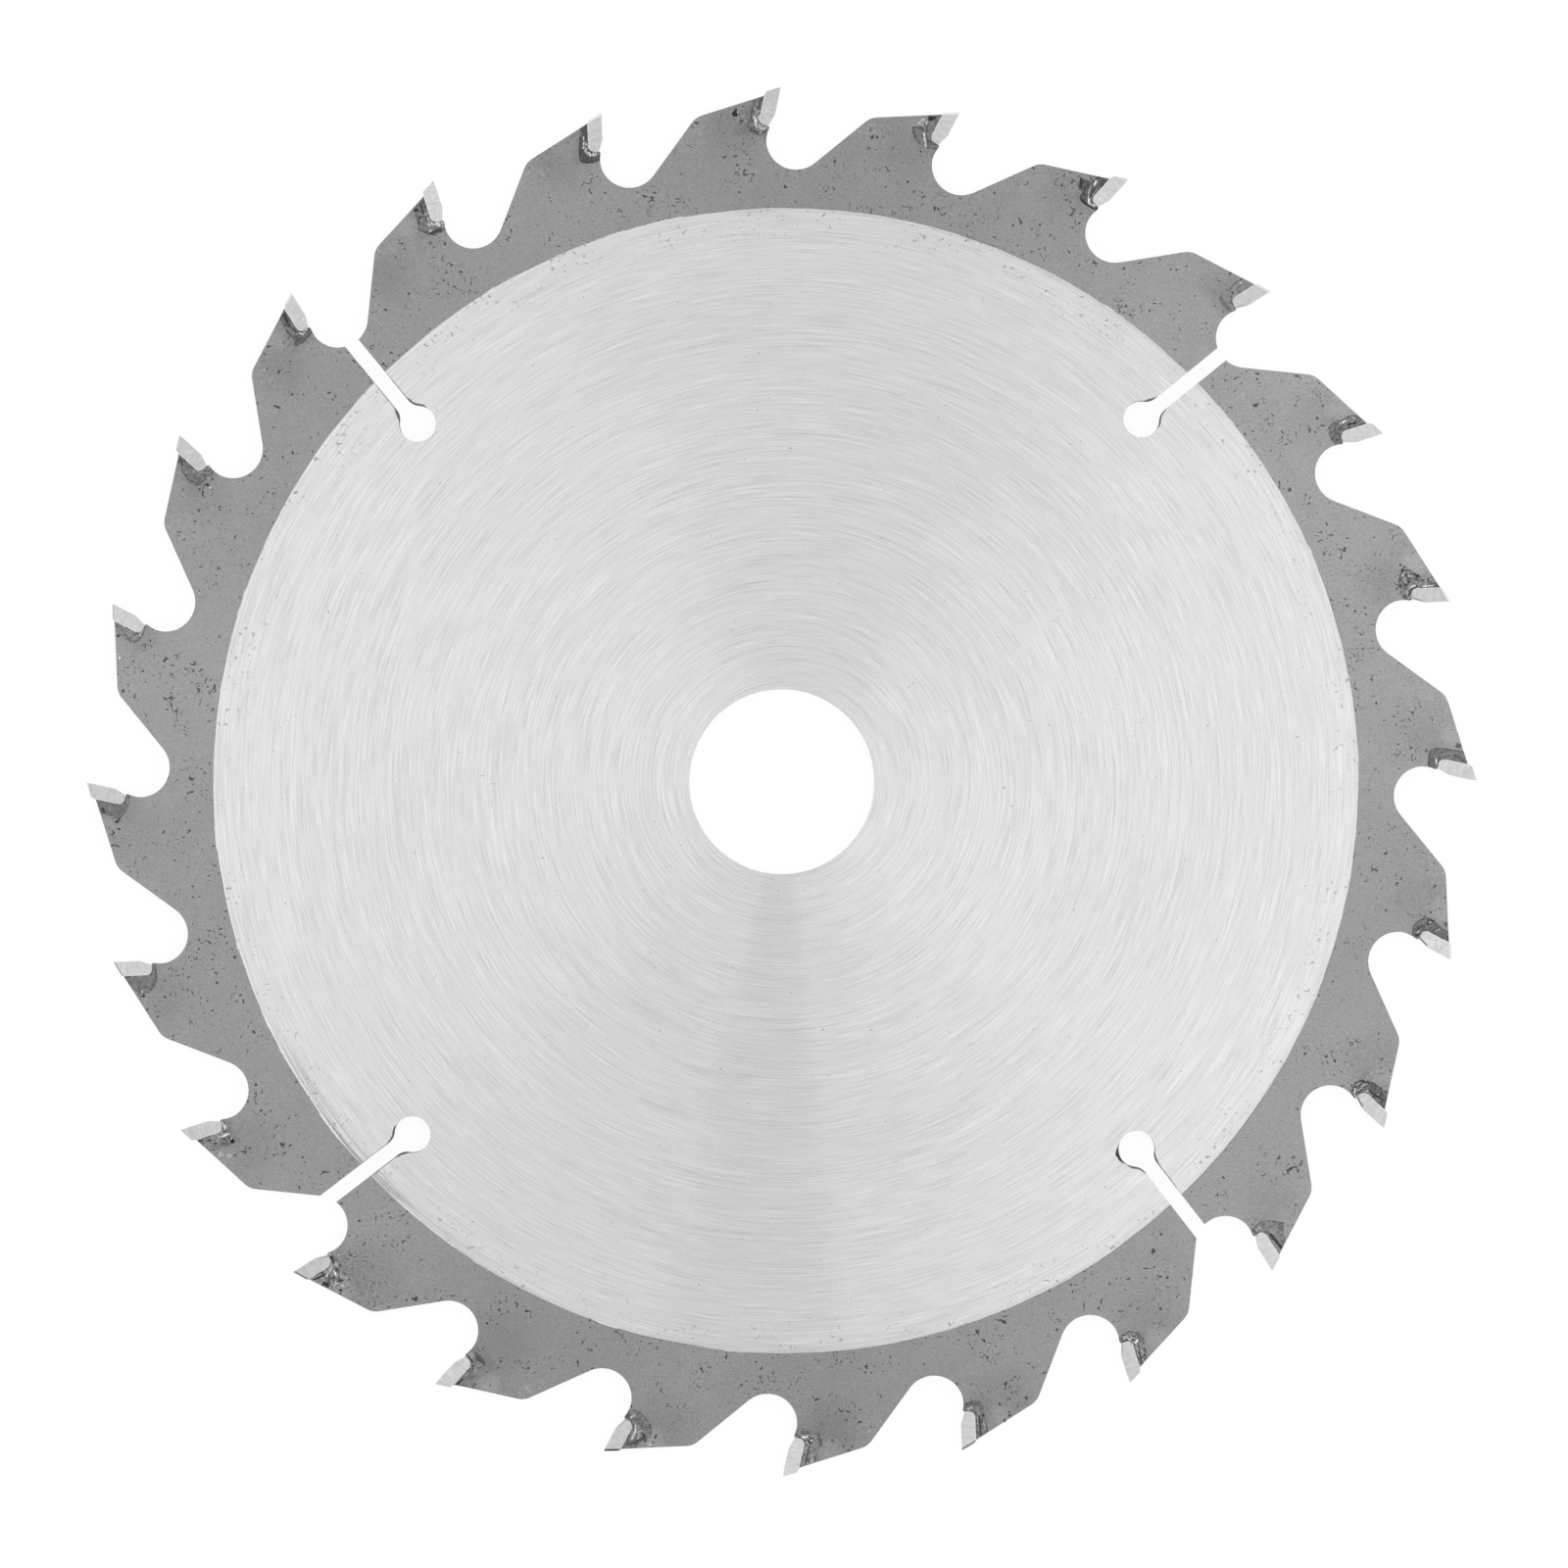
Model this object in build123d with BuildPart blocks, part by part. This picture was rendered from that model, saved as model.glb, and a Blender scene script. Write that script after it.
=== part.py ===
from build123d import *
from math import cos, radians, sin, tan
import os

os.makedirs("parts", exist_ok=True)

# Circular saw blade: a round steel plate with carbide tips brazed into its teeth.
# Lengths are in millimetres and angles in degrees. The origin is the centre of the
# arbor bore, halfway through the plate. +Z is the axis of the bore and comes out of
# the front face. +Y runs through the tip of the first tooth. The teeth are counted
# clockwise from there as the front is seen, and clockwise is the way they cut.

# Whole blade
TIP_CIRCLE_DIAMETER = 190.0
BORE_DIAMETER = 25.4
TEETH = 24

# Steel plate: a rim left as it was blasted, round a disc ground thinner on both faces
RIM_THICKNESS = 1.7
RIM_WIDTH = 16.67
GRINDING_DEPTH = 0.05
GRINDING_RAMP = 0.15
GRINDING_SHIFT = 0.68

# Gullets: a round bottom, then a straight slope up to the shoulder of the next tooth
GULLET_RADIUS = 4.07
GULLET_CENTRE_DEPTH = 7.19
GULLET_LEAD_ANGLE = 1.37
SLOPE_ANGLE = 39.0
SHOULDER_RADIUS = 2.65

# Tooth back: the straight edge from the shoulder up to the heel of the carbide
BACK_ANGLE = 17.4
BACK_DROP = 0.46

# Carbide tips
HOOK_ANGLE = 12.5
TIP_THICKNESS = 1.95
TIP_LENGTH = 5.57
FACE_LENGTH = 3.62
LOW_FACE_ANGLE = 18.5
TOP_CLEARANCE_ANGLE = 15.5
TOP_BEVEL_ANGLE = 15.0
SIDE_OVERHANG = 0.35
RADIAL_CLEARANCE_ANGLE = 1.0
TANGENTIAL_CLEARANCE_ANGLE = 2.5
HEEL_WIDTH = 0.22
HEEL_LENGTH = 0.63
TIP_CORNER_RADIUS = 0.55

# Brazing filler: a film in the seat, and a bead on both faces of the tooth. The bead has
# a narrow land beside the carbide, then slopes down to a thin edge.
FILM_THICKNESS = 0.12
BEAD_HEIGHT = 0.13
BEAD_EDGE_HEIGHT = 0.05
BEAD_LAND_WIDTH = 0.4
BEAD_LAND_RADIUS = 0.25
BEAD_SLOPE_WIDTH = 0.85

# Expansion slots: from a gullet in to a round hole, leaning back from the radius
SLOTS = 4
SLOT_WIDTH = 2.05
SLOT_HOLE_DIAMETER = 5.0
SLOT_HOLE_DEPTH = 25.1
SLOT_LEAN_ANGLE = 6.2
SLOT_NECK_RADIUS = 2.0
SLOT_ANGLE_SHIFTS = (0.13, -1.07, -1.42, 0.38)

# Room by which a cutting outline runs past what it cuts
CUT_MARGIN = 2.0

# Sizes that follow from the ones above
tip_radius = TIP_CIRCLE_DIAMETER / 2
pitch = 360 / TEETH
kerf = RIM_THICKNESS + 2 * SIDE_OVERHANG
ground_radius = tip_radius - RIM_WIDTH
slot_hole_radius = tip_radius - SLOT_HOLE_DEPTH
bead_width = BEAD_LAND_WIDTH + BEAD_SLOPE_WIDTH
bead_radius = BEAD_LAND_RADIUS + BEAD_SLOPE_WIDTH


def polar(radius, angle):
    """Point at a radius, at an angle clockwise from the first tooth."""
    return Vector(radius * sin(radians(angle)), radius * cos(radians(angle)))


def crossing(point, angle, other_point, other_angle):
    """Where two lines cross, each given by a point and its angle above +X."""
    along = Vector(cos(radians(angle)), sin(radians(angle)))
    other = Vector(cos(radians(other_angle)), sin(radians(other_angle)))
    between = other_point - point
    reach = (between.X * other.Y - between.Y * other.X) / (along.X * other.Y - along.Y * other.X)
    return point + along * reach


# The rake plane stands at the tip corner of the first tooth. Its +Y runs up the face
# of the carbide, and its +X points ahead of the face.
rake = Plane(
    origin=(0, tip_radius, 0),
    x_dir=(cos(radians(HOOK_ANGLE)), -sin(radians(HOOK_ANGLE)), 0),
    z_dir=(0, 0, 1),
)


def rake_plane(point, normal):
    """Plane with its point and its normal given in the rake plane's own axes."""
    start = rake.from_local_coords(Vector(*point))
    end = rake.from_local_coords(Vector(*point) + Vector(*normal))
    return Plane(origin=start, z_dir=end - start)


# Side view of a carbide tip, in the rake plane
top_slope = tan(radians(HOOK_ANGLE + TOP_CLEARANCE_ANGLE))
heel_top_x = HEEL_WIDTH - TIP_THICKNESS
heel_top = Vector(heel_top_x, heel_top_x * top_slope)
heel_foot = Vector(-TIP_THICKNESS, heel_top.Y - HEEL_LENGTH)
back_foot = Vector(-TIP_THICKNESS, -TIP_LENGTH)
front_foot = Vector((FACE_LENGTH - TIP_LENGTH) * tan(radians(LOW_FACE_ANGLE)), -TIP_LENGTH)
face_bend = Vector(0, -FACE_LENGTH)

with BuildSketch(rake) as tip_profile:
    with BuildLine():
        Polyline((0, 0), heel_top, heel_foot, back_foot, front_foot, face_bend, close=True)
    make_face()
    fillet(tip_profile.vertices().sort_by_distance(back_foot)[0], radius=TIP_CORNER_RADIUS)


def band_behind_tip(width, corner_radius=0.0):
    """Everything from the face back to a line this far behind and below the tip."""
    corner = (-TIP_THICKNESS - width, -TIP_LENGTH - width)
    with BuildSketch(rake) as band:
        with BuildLine():
            Polyline((corner[0], CUT_MARGIN), corner, (0, corner[1]), (0, CUT_MARGIN), close=True)
        make_face()
        if corner_radius > 0:
            fillet(band.vertices().sort_by_distance((*corner, 0))[0], radius=corner_radius)
    return band.sketch


# The seat that is milled for the tip has a square corner, which the tip's rounded corner
# stays clear of, and leaves the thickness of the film behind and below the tip
seat = band_behind_tip(FILM_THICKNESS)

# The gap between the first tooth and the next: up the front of the carbide, round the
# gullet, up the slope, and over the back of the next tooth
gullet_centre = polar(tip_radius - GULLET_CENTRE_DEPTH, GULLET_LEAD_ANGLE)
slope_foot = gullet_centre + Vector(sin(radians(SLOPE_ANGLE)), -cos(radians(SLOPE_ANGLE))) * GULLET_RADIUS
next_back = polar(tip_radius - BACK_DROP, pitch)
shoulder = crossing(slope_foot, SLOPE_ANGLE, next_back, BACK_ANGLE - pitch)
back_run = (BACK_DROP + CUT_MARGIN) / sin(radians(BACK_ANGLE))
back_end = next_back + Vector(back_run, 0).rotate(Axis.Z, BACK_ANGLE - pitch)

with BuildSketch() as tooth_gap:
    with BuildLine():
        Polyline(
            gullet_centre,
            slope_foot,
            shoulder,
            back_end,
            polar(tip_radius + 2 * CUT_MARGIN, pitch / 2),
            rake.from_local_coords((0, CUT_MARGIN)),
            rake.from_local_coords(face_bend),
            rake.from_local_coords(front_foot),
            close=True,
        )
    make_face()
    fillet(tooth_gap.vertices().sort_by_distance(shoulder)[0], radius=SHOULDER_RADIUS)
    with Locations(gullet_centre):
        Circle(GULLET_RADIUS)

# One expansion slot, with its hole at the origin and its mouth along +X
slot_length = SLOT_HOLE_DEPTH + CUT_MARGIN

with BuildSketch() as slot:
    Rectangle(slot_length, SLOT_WIDTH, align=(Align.MIN, Align.CENTER))
    Circle(SLOT_HOLE_DIAMETER / 2)
    fillet(slot.vertices().sort_by_distance((0, 0, 0))[:2], radius=SLOT_NECK_RADIUS)

# Outline of the plate with its gaps cut, before and after the seats are milled
with BuildSketch() as toothed_outline:
    Circle(tip_radius)
    with PolarLocations(0, TEETH):
        add(tooth_gap.sketch, mode=Mode.SUBTRACT)

with BuildSketch() as plate_outline:
    add(toothed_outline.sketch)
    with PolarLocations(0, TEETH):
        add(seat, mode=Mode.SUBTRACT)
    Circle(BORE_DIAMETER / 2, mode=Mode.SUBTRACT)
    for number in range(SLOTS):
        tooth = int(TEETH * (number + 0.5) / SLOTS)
        hole_angle = tooth * pitch - SLOT_ANGLE_SHIFTS[number % len(SLOT_ANGLE_SHIFTS)]
        mouth_direction = 90 - hole_angle - SLOT_LEAN_ANGLE
        with Locations(Location(polar(slot_hole_radius, hole_angle), (0, 0, mouth_direction))):
            add(slot.sketch, mode=Mode.SUBTRACT)

# Steel plate
with BuildPart() as saw_plate:
    add(plate_outline.sketch)
    extrude(amount=RIM_THICKNESS / 2, both=True)
    with Locations((GRINDING_SHIFT, 0, RIM_THICKNESS / 2 - GRINDING_DEPTH)):
        ground_disc = Cone(
            ground_radius - GRINDING_RAMP,
            ground_radius,
            GRINDING_DEPTH,
            align=(Align.CENTER, Align.CENTER, Align.MIN),
            mode=Mode.SUBTRACT,
        )
    mirror(ground_disc, about=Plane.XY, mode=Mode.SUBTRACT)

saw_plate.part.label = "saw_plate"
export_step(saw_plate.part, "parts/saw_plate.step")

# Carbide tip whose top bevel leaves its high corner on the front. The sides draw in
# towards the foot and towards the back, and the top falls away behind the face.
radial_slope = tan(radians(RADIAL_CLEARANCE_ANGLE))
tangential_slope = tan(radians(TANGENTIAL_CLEARANCE_ANGLE))
bevel_slope = tan(radians(TOP_BEVEL_ANGLE))

with BuildPart() as front_high_tip:
    add(tip_profile.sketch)
    extrude(amount=kerf / 2, both=True)
    for side in (1, -1):
        side_normal = (-tangential_slope, -radial_slope, side)
        split(bisect_by=rake_plane((0, 0, side * kerf / 2), side_normal), keep=Keep.BOTTOM)
    top_normal = (-top_slope, 1, -bevel_slope)
    split(bisect_by=rake_plane((0, 0, kerf / 2), top_normal), keep=Keep.BOTTOM)

with BuildPart() as back_high_tip:
    mirror(front_high_tip.part, about=Plane.XY)


def filler_outline(band):
    """What a band behind the tip covers of the tooth, outside the tip."""
    with BuildSketch() as plan:
        add(band)
        add(toothed_outline.sketch, mode=Mode.INTERSECT)
        add(tip_profile.sketch, mode=Mode.SUBTRACT)
    return plan.sketch


# Brazing filler of one tip. It lies on the tooth as it was before the seat was milled,
# outside the carbide, and is built on the front half and mirrored.
with BuildPart() as filler:
    with BuildSketch(Plane.XY.offset(RIM_THICKNESS / 2)):
        add(filler_outline(band_behind_tip(bead_width, bead_radius)))
    extrude(amount=BEAD_HEIGHT)
    bead_top = filler.faces().sort_by(Axis.Z)[-1]
    outer_edges = bead_top.edges().sort_by_distance(rake.from_local_coords(face_bend))[-3:]
    chamfer(
        outer_edges,
        length=BEAD_SLOPE_WIDTH,
        length2=BEAD_HEIGHT - BEAD_EDGE_HEIGHT,
        reference=bead_top,
    )
    add(filler_outline(seat))
    extrude(amount=RIM_THICKNESS / 2)
    mirror(about=Plane.XY)

# The tips take turns: one has its high corner on the front, the next on the back
for number in range(TEETH):
    turn = (0, 0, -number * pitch)
    with BuildPart() as carbide_tip:
        add(back_high_tip.part if number % 2 else front_high_tip.part, rotation=turn)
    carbide_tip.part.label = f"carbide_tip_{number + 1:02d}"
    export_step(carbide_tip.part, f"parts/{carbide_tip.part.label}.step")

    with BuildPart() as braze_joint:
        add(filler.part, rotation=turn)
    braze_joint.part.label = f"braze_joint_{number + 1:02d}"
    export_step(braze_joint.part, f"parts/{braze_joint.part.label}.step")
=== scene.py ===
import math

import bpy
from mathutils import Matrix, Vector, noise


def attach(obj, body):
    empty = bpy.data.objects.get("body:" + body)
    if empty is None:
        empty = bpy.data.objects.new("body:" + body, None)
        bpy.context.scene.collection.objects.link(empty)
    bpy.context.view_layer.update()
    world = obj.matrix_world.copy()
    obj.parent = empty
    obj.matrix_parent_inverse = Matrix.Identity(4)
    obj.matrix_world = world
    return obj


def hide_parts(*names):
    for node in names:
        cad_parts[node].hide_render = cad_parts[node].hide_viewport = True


# Circular saw blade, seen from straight above. The steel plate and the carbide tips are the
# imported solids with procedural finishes. Each brazed joint is a lumpy mesh of its own.
# Lengths in this script are millimetres, as in the part's source, unless a name says
# metres. The teeth are counted clockwise from 12 o'clock, and tooth 0 is there.

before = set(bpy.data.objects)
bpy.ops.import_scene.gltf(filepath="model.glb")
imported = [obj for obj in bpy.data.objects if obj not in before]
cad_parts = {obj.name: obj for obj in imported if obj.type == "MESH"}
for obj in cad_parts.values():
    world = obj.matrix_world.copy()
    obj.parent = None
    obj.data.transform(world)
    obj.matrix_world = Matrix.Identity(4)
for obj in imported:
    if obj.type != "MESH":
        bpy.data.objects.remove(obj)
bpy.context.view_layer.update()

MM = 0.001
TEETH = 24
PITCH = 2 * math.pi / TEETH

# Plate
TIP_RADIUS = 95.0
RIM_HALF = 0.85
GROUND_RADIUS = 78.33
GROUND_SHIFT = 0.68
BORE_RADIUS = 12.7
TIP_HALF = 1.2

# Carbide tip, in the rake axes: X ahead of the cutting face, Y up the face
HOOK = math.radians(12.5)
TIP_BACK = -1.95
TIP_FOOT = -5.57
TIP_FOOT_FRONT = -0.652
TIP_CORNER = 0.55

# Brazed joint: where the back of the tooth meets the carbide, and how it falls away
JOINT_TOP = -1.628
JOINT_TOP_FALL = 0.575
FILM = 0.12
GULLET_CENTRE = (3.611, -6.590)
GULLET_RADIUS = 4.07
TOE_SLOPE = 4.1

# Bead: its height at the carbide and where it has run out, and how far out it reaches
BEAD_HEIGHT = 0.13
BEAD_LOW = 0.022
BEAD_INNER = 0.25
BEAD_OUTER = 1.35

# Slots: the place of the holes, their radius, the width and the lean, and how far each
# slot is off its even place, in degrees, from the upper right one anticlockwise
SLOT_HOLE_PLACE = 69.9
SLOT_HOLE_RADIUS = 2.5
SLOT_HALF_WIDTH = 1.025
SLOT_NECK = 2.0
SLOT_DIRECTION = math.radians(38.8)
SLOT_SHIFTS = (0.13, 0.38, -1.42, -1.07)
SHIFT_RANGE = 2.0

# The joints on the back have the looks of the front's, this many teeth further on
BACK_LOOK_SHIFT = 11

# Back of the upright tooth, from its tip corner: its height at x 0, and its slope
BACK_DROP_Y = -0.46
BACK_FALL = 0.3134

# Tones of the metals in full light
DISC_TONE = 0.630
RIM_TONE = 0.325
CARBIDE_TONE = 0.545
SLIVER_TONE = 0.035
SLOT_WALL_TONE = 0.06
GULLET_WALL_TONE = 0.20
BORE_WALL_TONE = 0.42

# Where each noise is read, so that no two textures repeat each other
ELSEWHERE = dict(
    pit_pieces=(37.0, 11.0, 5.0),
    pit_clusters=(-19.0, 43.0, 9.0),
    small_pits=(90.0, -60.0, 30.0),
    dots=(5.0, 7.0, 70.0),
    flecks=(0.0, 33.0, 12.0),
    scratches=(60.0, 20.0, 0.0),
    scratched_parts=(8.0, -50.0, 3.0),
    soot=(15.0, -8.0, 4.0),
    spatter=(3.0, 9.0, 90.0),
    scuffs=(71.0, -13.0, 2.0),
    speckle=(44.0, 6.0, 18.0),
    mottle=(0.0, 0.0, 21.0),
)
FACES_APART = 50.0
TIPS_APART = 431.0

# A colour ramp holds shares from 0 to 1. Numbers that go into one are divided by these,
# and what comes out is multiplied again.
REACH_RANGE = 10.0
PLACE_RANGE = 20.0
SHADE_RANGE = 2.0

# Lamps: name, azimuth in degrees, how far away and how high, length and depth, all four in
# metres, and watts
LAMPS = (
    ("right_box", -8.0, 0.42, 0.42, 1.3, 0.35, 1.58),
    ("left_box", 172.0, 0.50, 0.50, 1.4, 0.40, 1.5),
    ("top_box", 90.0, 0.45, 0.60, 0.8, 0.30, 0.10),
    ("upper_box", 36.0, 0.45, 0.45, 0.45, 0.30, 0.14),
    ("lower_box", -55.0, 0.45, 0.45, 0.45, 0.30, 0.16),
)

# Camera: its place in metres, its turn in degrees, its lens and its sensor
CAMERA_PLACE = (0.00031, -0.00031, 0.8008)
CAMERA_TURN = -0.095
CAMERA_LENS = 134.27
CAMERA_SENSOR = 36.0

# Floor: how far it reaches in metres, its own colour, and how much of what the camera and
# reflections see of it is plain white
FLOOR_REACH = 2.5
FLOOR_COLOUR = (0.9, 0.9, 0.9, 1.0)
FLOOR_WHITE = 0.93
WHITE = (1.0, 1.0, 1.0, 1.0)


# Node helpers

def operator(operation, turned=False):
    """A method that adds the math node of an operation, or a vector one for a triple."""

    def method(self, other):
        add_node = self.nodes.vector if isinstance(other, tuple) else self.nodes.math
        return add_node(operation, other, self) if turned else add_node(operation, self, other)

    return method


class Value:
    """What a node puts out. Arithmetic on it adds math nodes, and a triple moves a place."""

    def __init__(self, nodes, socket):
        self.nodes = nodes
        self.socket = socket

    def __abs__(self):
        return self.nodes.math("ABSOLUTE", self)

    __add__ = operator("ADD")
    __radd__ = operator("ADD", turned=True)
    __sub__ = operator("SUBTRACT")
    __rsub__ = operator("SUBTRACT", turned=True)
    __mul__ = operator("MULTIPLY")
    __truediv__ = operator("DIVIDE")
    __gt__ = operator("GREATER_THAN")
    __lt__ = operator("LESS_THAN")


class Nodes:
    """The shader nodes of one material. Most methods add nodes and return a Value."""

    def __init__(self, name):
        self.material = bpy.data.materials.new(name)
        self.material.use_nodes = True
        self.tree = self.material.node_tree
        self.tree.nodes.clear()

    def add(self, kind, inputs=None, **settings):
        node = self.tree.nodes.new(kind)
        for key, value in settings.items():
            setattr(node, key, value)
        for key, value in (inputs or {}).items():
            if isinstance(value, Value):
                self.tree.links.new(value.socket, node.inputs[key])
            else:
                node.inputs[key].default_value = value
        return node

    def value(self, kind, inputs=None, output=0, **settings):
        return Value(self, self.add(kind, inputs, **settings).outputs[output])

    def math(self, operation, *values):
        return self.value("ShaderNodeMath", dict(enumerate(values)), operation=operation)

    def vector(self, operation, *values):
        output = "Value" if operation in ("LENGTH", "DOT_PRODUCT") else "Vector"
        inputs = dict(enumerate(values))
        return self.value("ShaderNodeVectorMath", inputs, output, operation=operation)

    def join(self, x, y, z=0.0):
        return self.value("ShaderNodeCombineXYZ", {0: x, 1: y, 2: z})

    def split(self, vector):
        node = self.add("ShaderNodeSeparateXYZ", {0: vector})
        return tuple(Value(self, output) for output in node.outputs)

    def length(self, x, y):
        return self.vector("LENGTH", self.join(x, y))

    def turn(self, vector, angle):
        inputs = {"Vector": vector, "Angle": angle}
        return self.value("ShaderNodeVectorRotate", inputs, rotation_type="Z_AXIS")

    def lower(self, first, second):
        return self.math("MINIMUM", first, second)

    def higher(self, first, second):
        return self.math("MAXIMUM", first, second)

    def rise(self, value, low, high, start=0.0, end=1.0):
        """A smooth change from start to end while value goes from low to high."""
        inputs = {0: value, 1: low, 2: high, 3: start, 4: end}
        return self.value("ShaderNodeMapRange", inputs, interpolation_type="SMOOTHSTEP")

    def fall(self, value, low, high, start=1.0):
        """A smooth fall from start to 0 while value goes from low to high."""
        return self.rise(value, low, high, start, 0.0)

    def noise(self, vector, scale=1.0, detail=2.0, roughness=0.5, distortion=0.0):
        inputs = {"Vector": vector, "Scale": scale, "Detail": detail, "Roughness": roughness}
        inputs["Distortion"] = distortion
        return self.value("ShaderNodeTexNoise", inputs)

    def swing(self, value, amount):
        """Turns a noise value round 0.5 into a change of up to amount both ways."""
        return (value - 0.5) * (2 * amount)

    def mix(self, factor, first, second):
        inputs = {0: factor, 2: first, 3: second}
        return self.value("ShaderNodeMix", inputs, data_type="FLOAT")

    def millimetres(self):
        """The place on the object."""
        inputs = {0: self.value("ShaderNodeTexCoord", output="Object"), "Scale": 1 / MM}
        return self.value("ShaderNodeVectorMath", inputs, operation="SCALE")

    def up(self):
        """How far the surface faces up, from -1 to 1."""
        return self.split(self.value("ShaderNodeTexCoord", output="Normal"))[2]

    def choice(self, position, values, smooth=False):
        """One of the values (or triples), picked by a position from 0 to 1."""
        node = self.add("ShaderNodeValToRGB", {0: position})
        ramp = node.color_ramp
        ramp.interpolation = "EASE" if smooth else "CONSTANT"
        while len(ramp.elements) > 1:
            ramp.elements.remove(ramp.elements[-1])
        ramp.elements[0].position = 0.0
        for place, value in enumerate(values):
            element = ramp.elements[0] if place == 0 else ramp.elements.new(place / len(values))
            triple = value if isinstance(value, tuple) else (value, value, value)
            element.color = (*triple, 1.0)
        picked = Value(self, node.outputs[0])
        return self.split(picked) if isinstance(values[0], tuple) else picked

    def metal(self, tone, gloss, relief, strength, distance, more=None):
        """The finished material: a metal with a relief whose distance is millimetres."""
        heights = {"Height": relief, "Strength": strength, "Distance": distance * MM}
        normal = self.value("ShaderNodeBump", heights)
        inputs = {"Base Color": tone, "Metallic": 1.0, "Roughness": gloss, "Normal": normal}
        inputs.update(more or {})
        return self.finish(self.value("ShaderNodeBsdfPrincipled", inputs))

    def finish(self, shader):
        self.add("ShaderNodeOutputMaterial", {"Surface": shader})
        return self.material


# How each joint looks. Heat has treated every joint differently. Places are millimetres
# back and then down from the tip corner of the tooth, with the tooth upright.
#   top     where the outer edge of the bead meets the back of the tooth
#   edge    places along that outer edge, from the top to the foot
#   foot    how far down the outer edge meets the gullet
#   tone    how light the skin of the alloy is
#   lumps   how lumpy and speckled it is
#   sparks  how many small bright flakes lie on it, 0 where it isn't given
#   lines   lighter or darker strands: from, to, width, tone
#   spots   crust and drops beside the bead: place, radius, tone
#   stain   how far and how darkly heat has stained the steel beyond the bead
#   cloud   a wide soft stain on the tooth: its place, radius and darkness
#   pale    how much paler the steel is at the back of the tooth, just beyond the bead
#   shade   painted light and shade on the steel of this tooth, as how light it is
SILVER = 0.75
BRIGHT = 0.90
GREY = 0.40
DARK = 0.08
BLACK = 0.03

JOINTS = []


def joint(**look):
    JOINTS.append(look)


joint(
    top=3.75, edge=((3.95, 2.9), (4.25, 4.3), (4.6, 5.4), (4.1, 6.25), (3, 6.55)), foot=6.1,
    tone=0.17, lumps=0.7, stain=(2.6, 0.2),
    cloud=(7, 6, 6.5, 0.12), pale=0, shade=0.98, sparks=1,
    lines=(
        (2.65, 1.6, 3.1, 3, 0.25, DARK), (3.8, 2.7, 4.2, 4.3, 0.16, DARK),
        (4.2, 4.3, 4.5, 5.3, 0.16, DARK), (4, 5.8, 3, 6.3, 0.35, DARK),
        (3, 6.2, 2.2, 6, 0.3, DARK), (3.65, 4, 3.35, 4.9, 0.16, SILVER),
        (2.9, 5.35, 2.75, 5.7, 0.12, SILVER), (2.2, 5.7, 2.9, 6.3, 0.1, GREY),
        (3.45, 5.1, 3.3, 5.5, 0.12, SILVER),
    ),
    spots=(
        (6.2, 3.65, 0.42, BLACK), (6.15, 3, 0.2, DARK), (5.92, 3.4, 0.13, 0.5),
        (5.25, 3.8, 0.5, 0.2), (4.85, 4.7, 0.28, 0.22),
    ),
)
joint(
    top=4, edge=((4.1, 2.8), (4.9, 3.65), (5.8, 3.9), (5.3, 4.9), (4.4, 5.85), (3.4, 6.1)),
    foot=5.95, tone=0.17, lumps=0.15, stain=(2, 0.12),
    cloud=(6, 7, 6, 0.08), pale=0.02, shade=0.98,
    lines=(
        (3.95, 2.05, 3.1, 1.85, 0.34, BLACK), (3.75, 2.3, 3.3, 2.15, 0.28, BLACK),
        (5.75, 3.9, 4.3, 3.7, 0.16, DARK), (4, 4.3, 3.3, 6, 0.17, BRIGHT),
        (3.72, 4.3, 3.1, 5.6, 0.12, DARK), (4, 2.55, 4, 3.1, 0.16, GREY),
        (3.2, 5.15, 2.1, 5.45, 0.14, DARK), (3.9, 3.2, 3.7, 3.9, 0.3, 0.1),
    ),
    spots=((4.65, 2.6, 0.35, 0.45), (5, 3.1, 0.3, 0.42), (4.55, 3.25, 0.16, 0.5)),
)
joint(
    top=3.9,
    edge=((4.15, 2.6), (4.9, 3), (5.75, 3), (5.35, 4.2), (4.6, 4.7), (4.6, 5.4), (3.9, 5.85)),
    foot=5.9, tone=0.1, lumps=0.5, stain=(2.4, 0.15),
    cloud=(6, 5, 6, 0.09), pale=0, shade=1.02, sparks=0.3,
    lines=(
        (3.7, 2.4, 3.6, 2.9, 0.22, BRIGHT), (3.95, 3.3, 3.85, 4, 0.13, GREY),
        (3.85, 4, 3.4, 5, 0.11, GREY), (3.42, 4.75, 3, 5.5, 0.17, BRIGHT),
        (3, 5.55, 2.2, 5.35, 0.13, SILVER), (4.5, 5.6, 2.2, 5.88, 0.2, BLACK),
        (3.35, 3.3, 3.35, 4.8, 0.16, BLACK), (5.6, 3.2, 5, 4.1, 0.4, 0.05),
    ),
    spots=((5.3, 6.6, 0.16, 0.12), (5.9, 6.6, 0.15, 0.12)),
)
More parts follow.
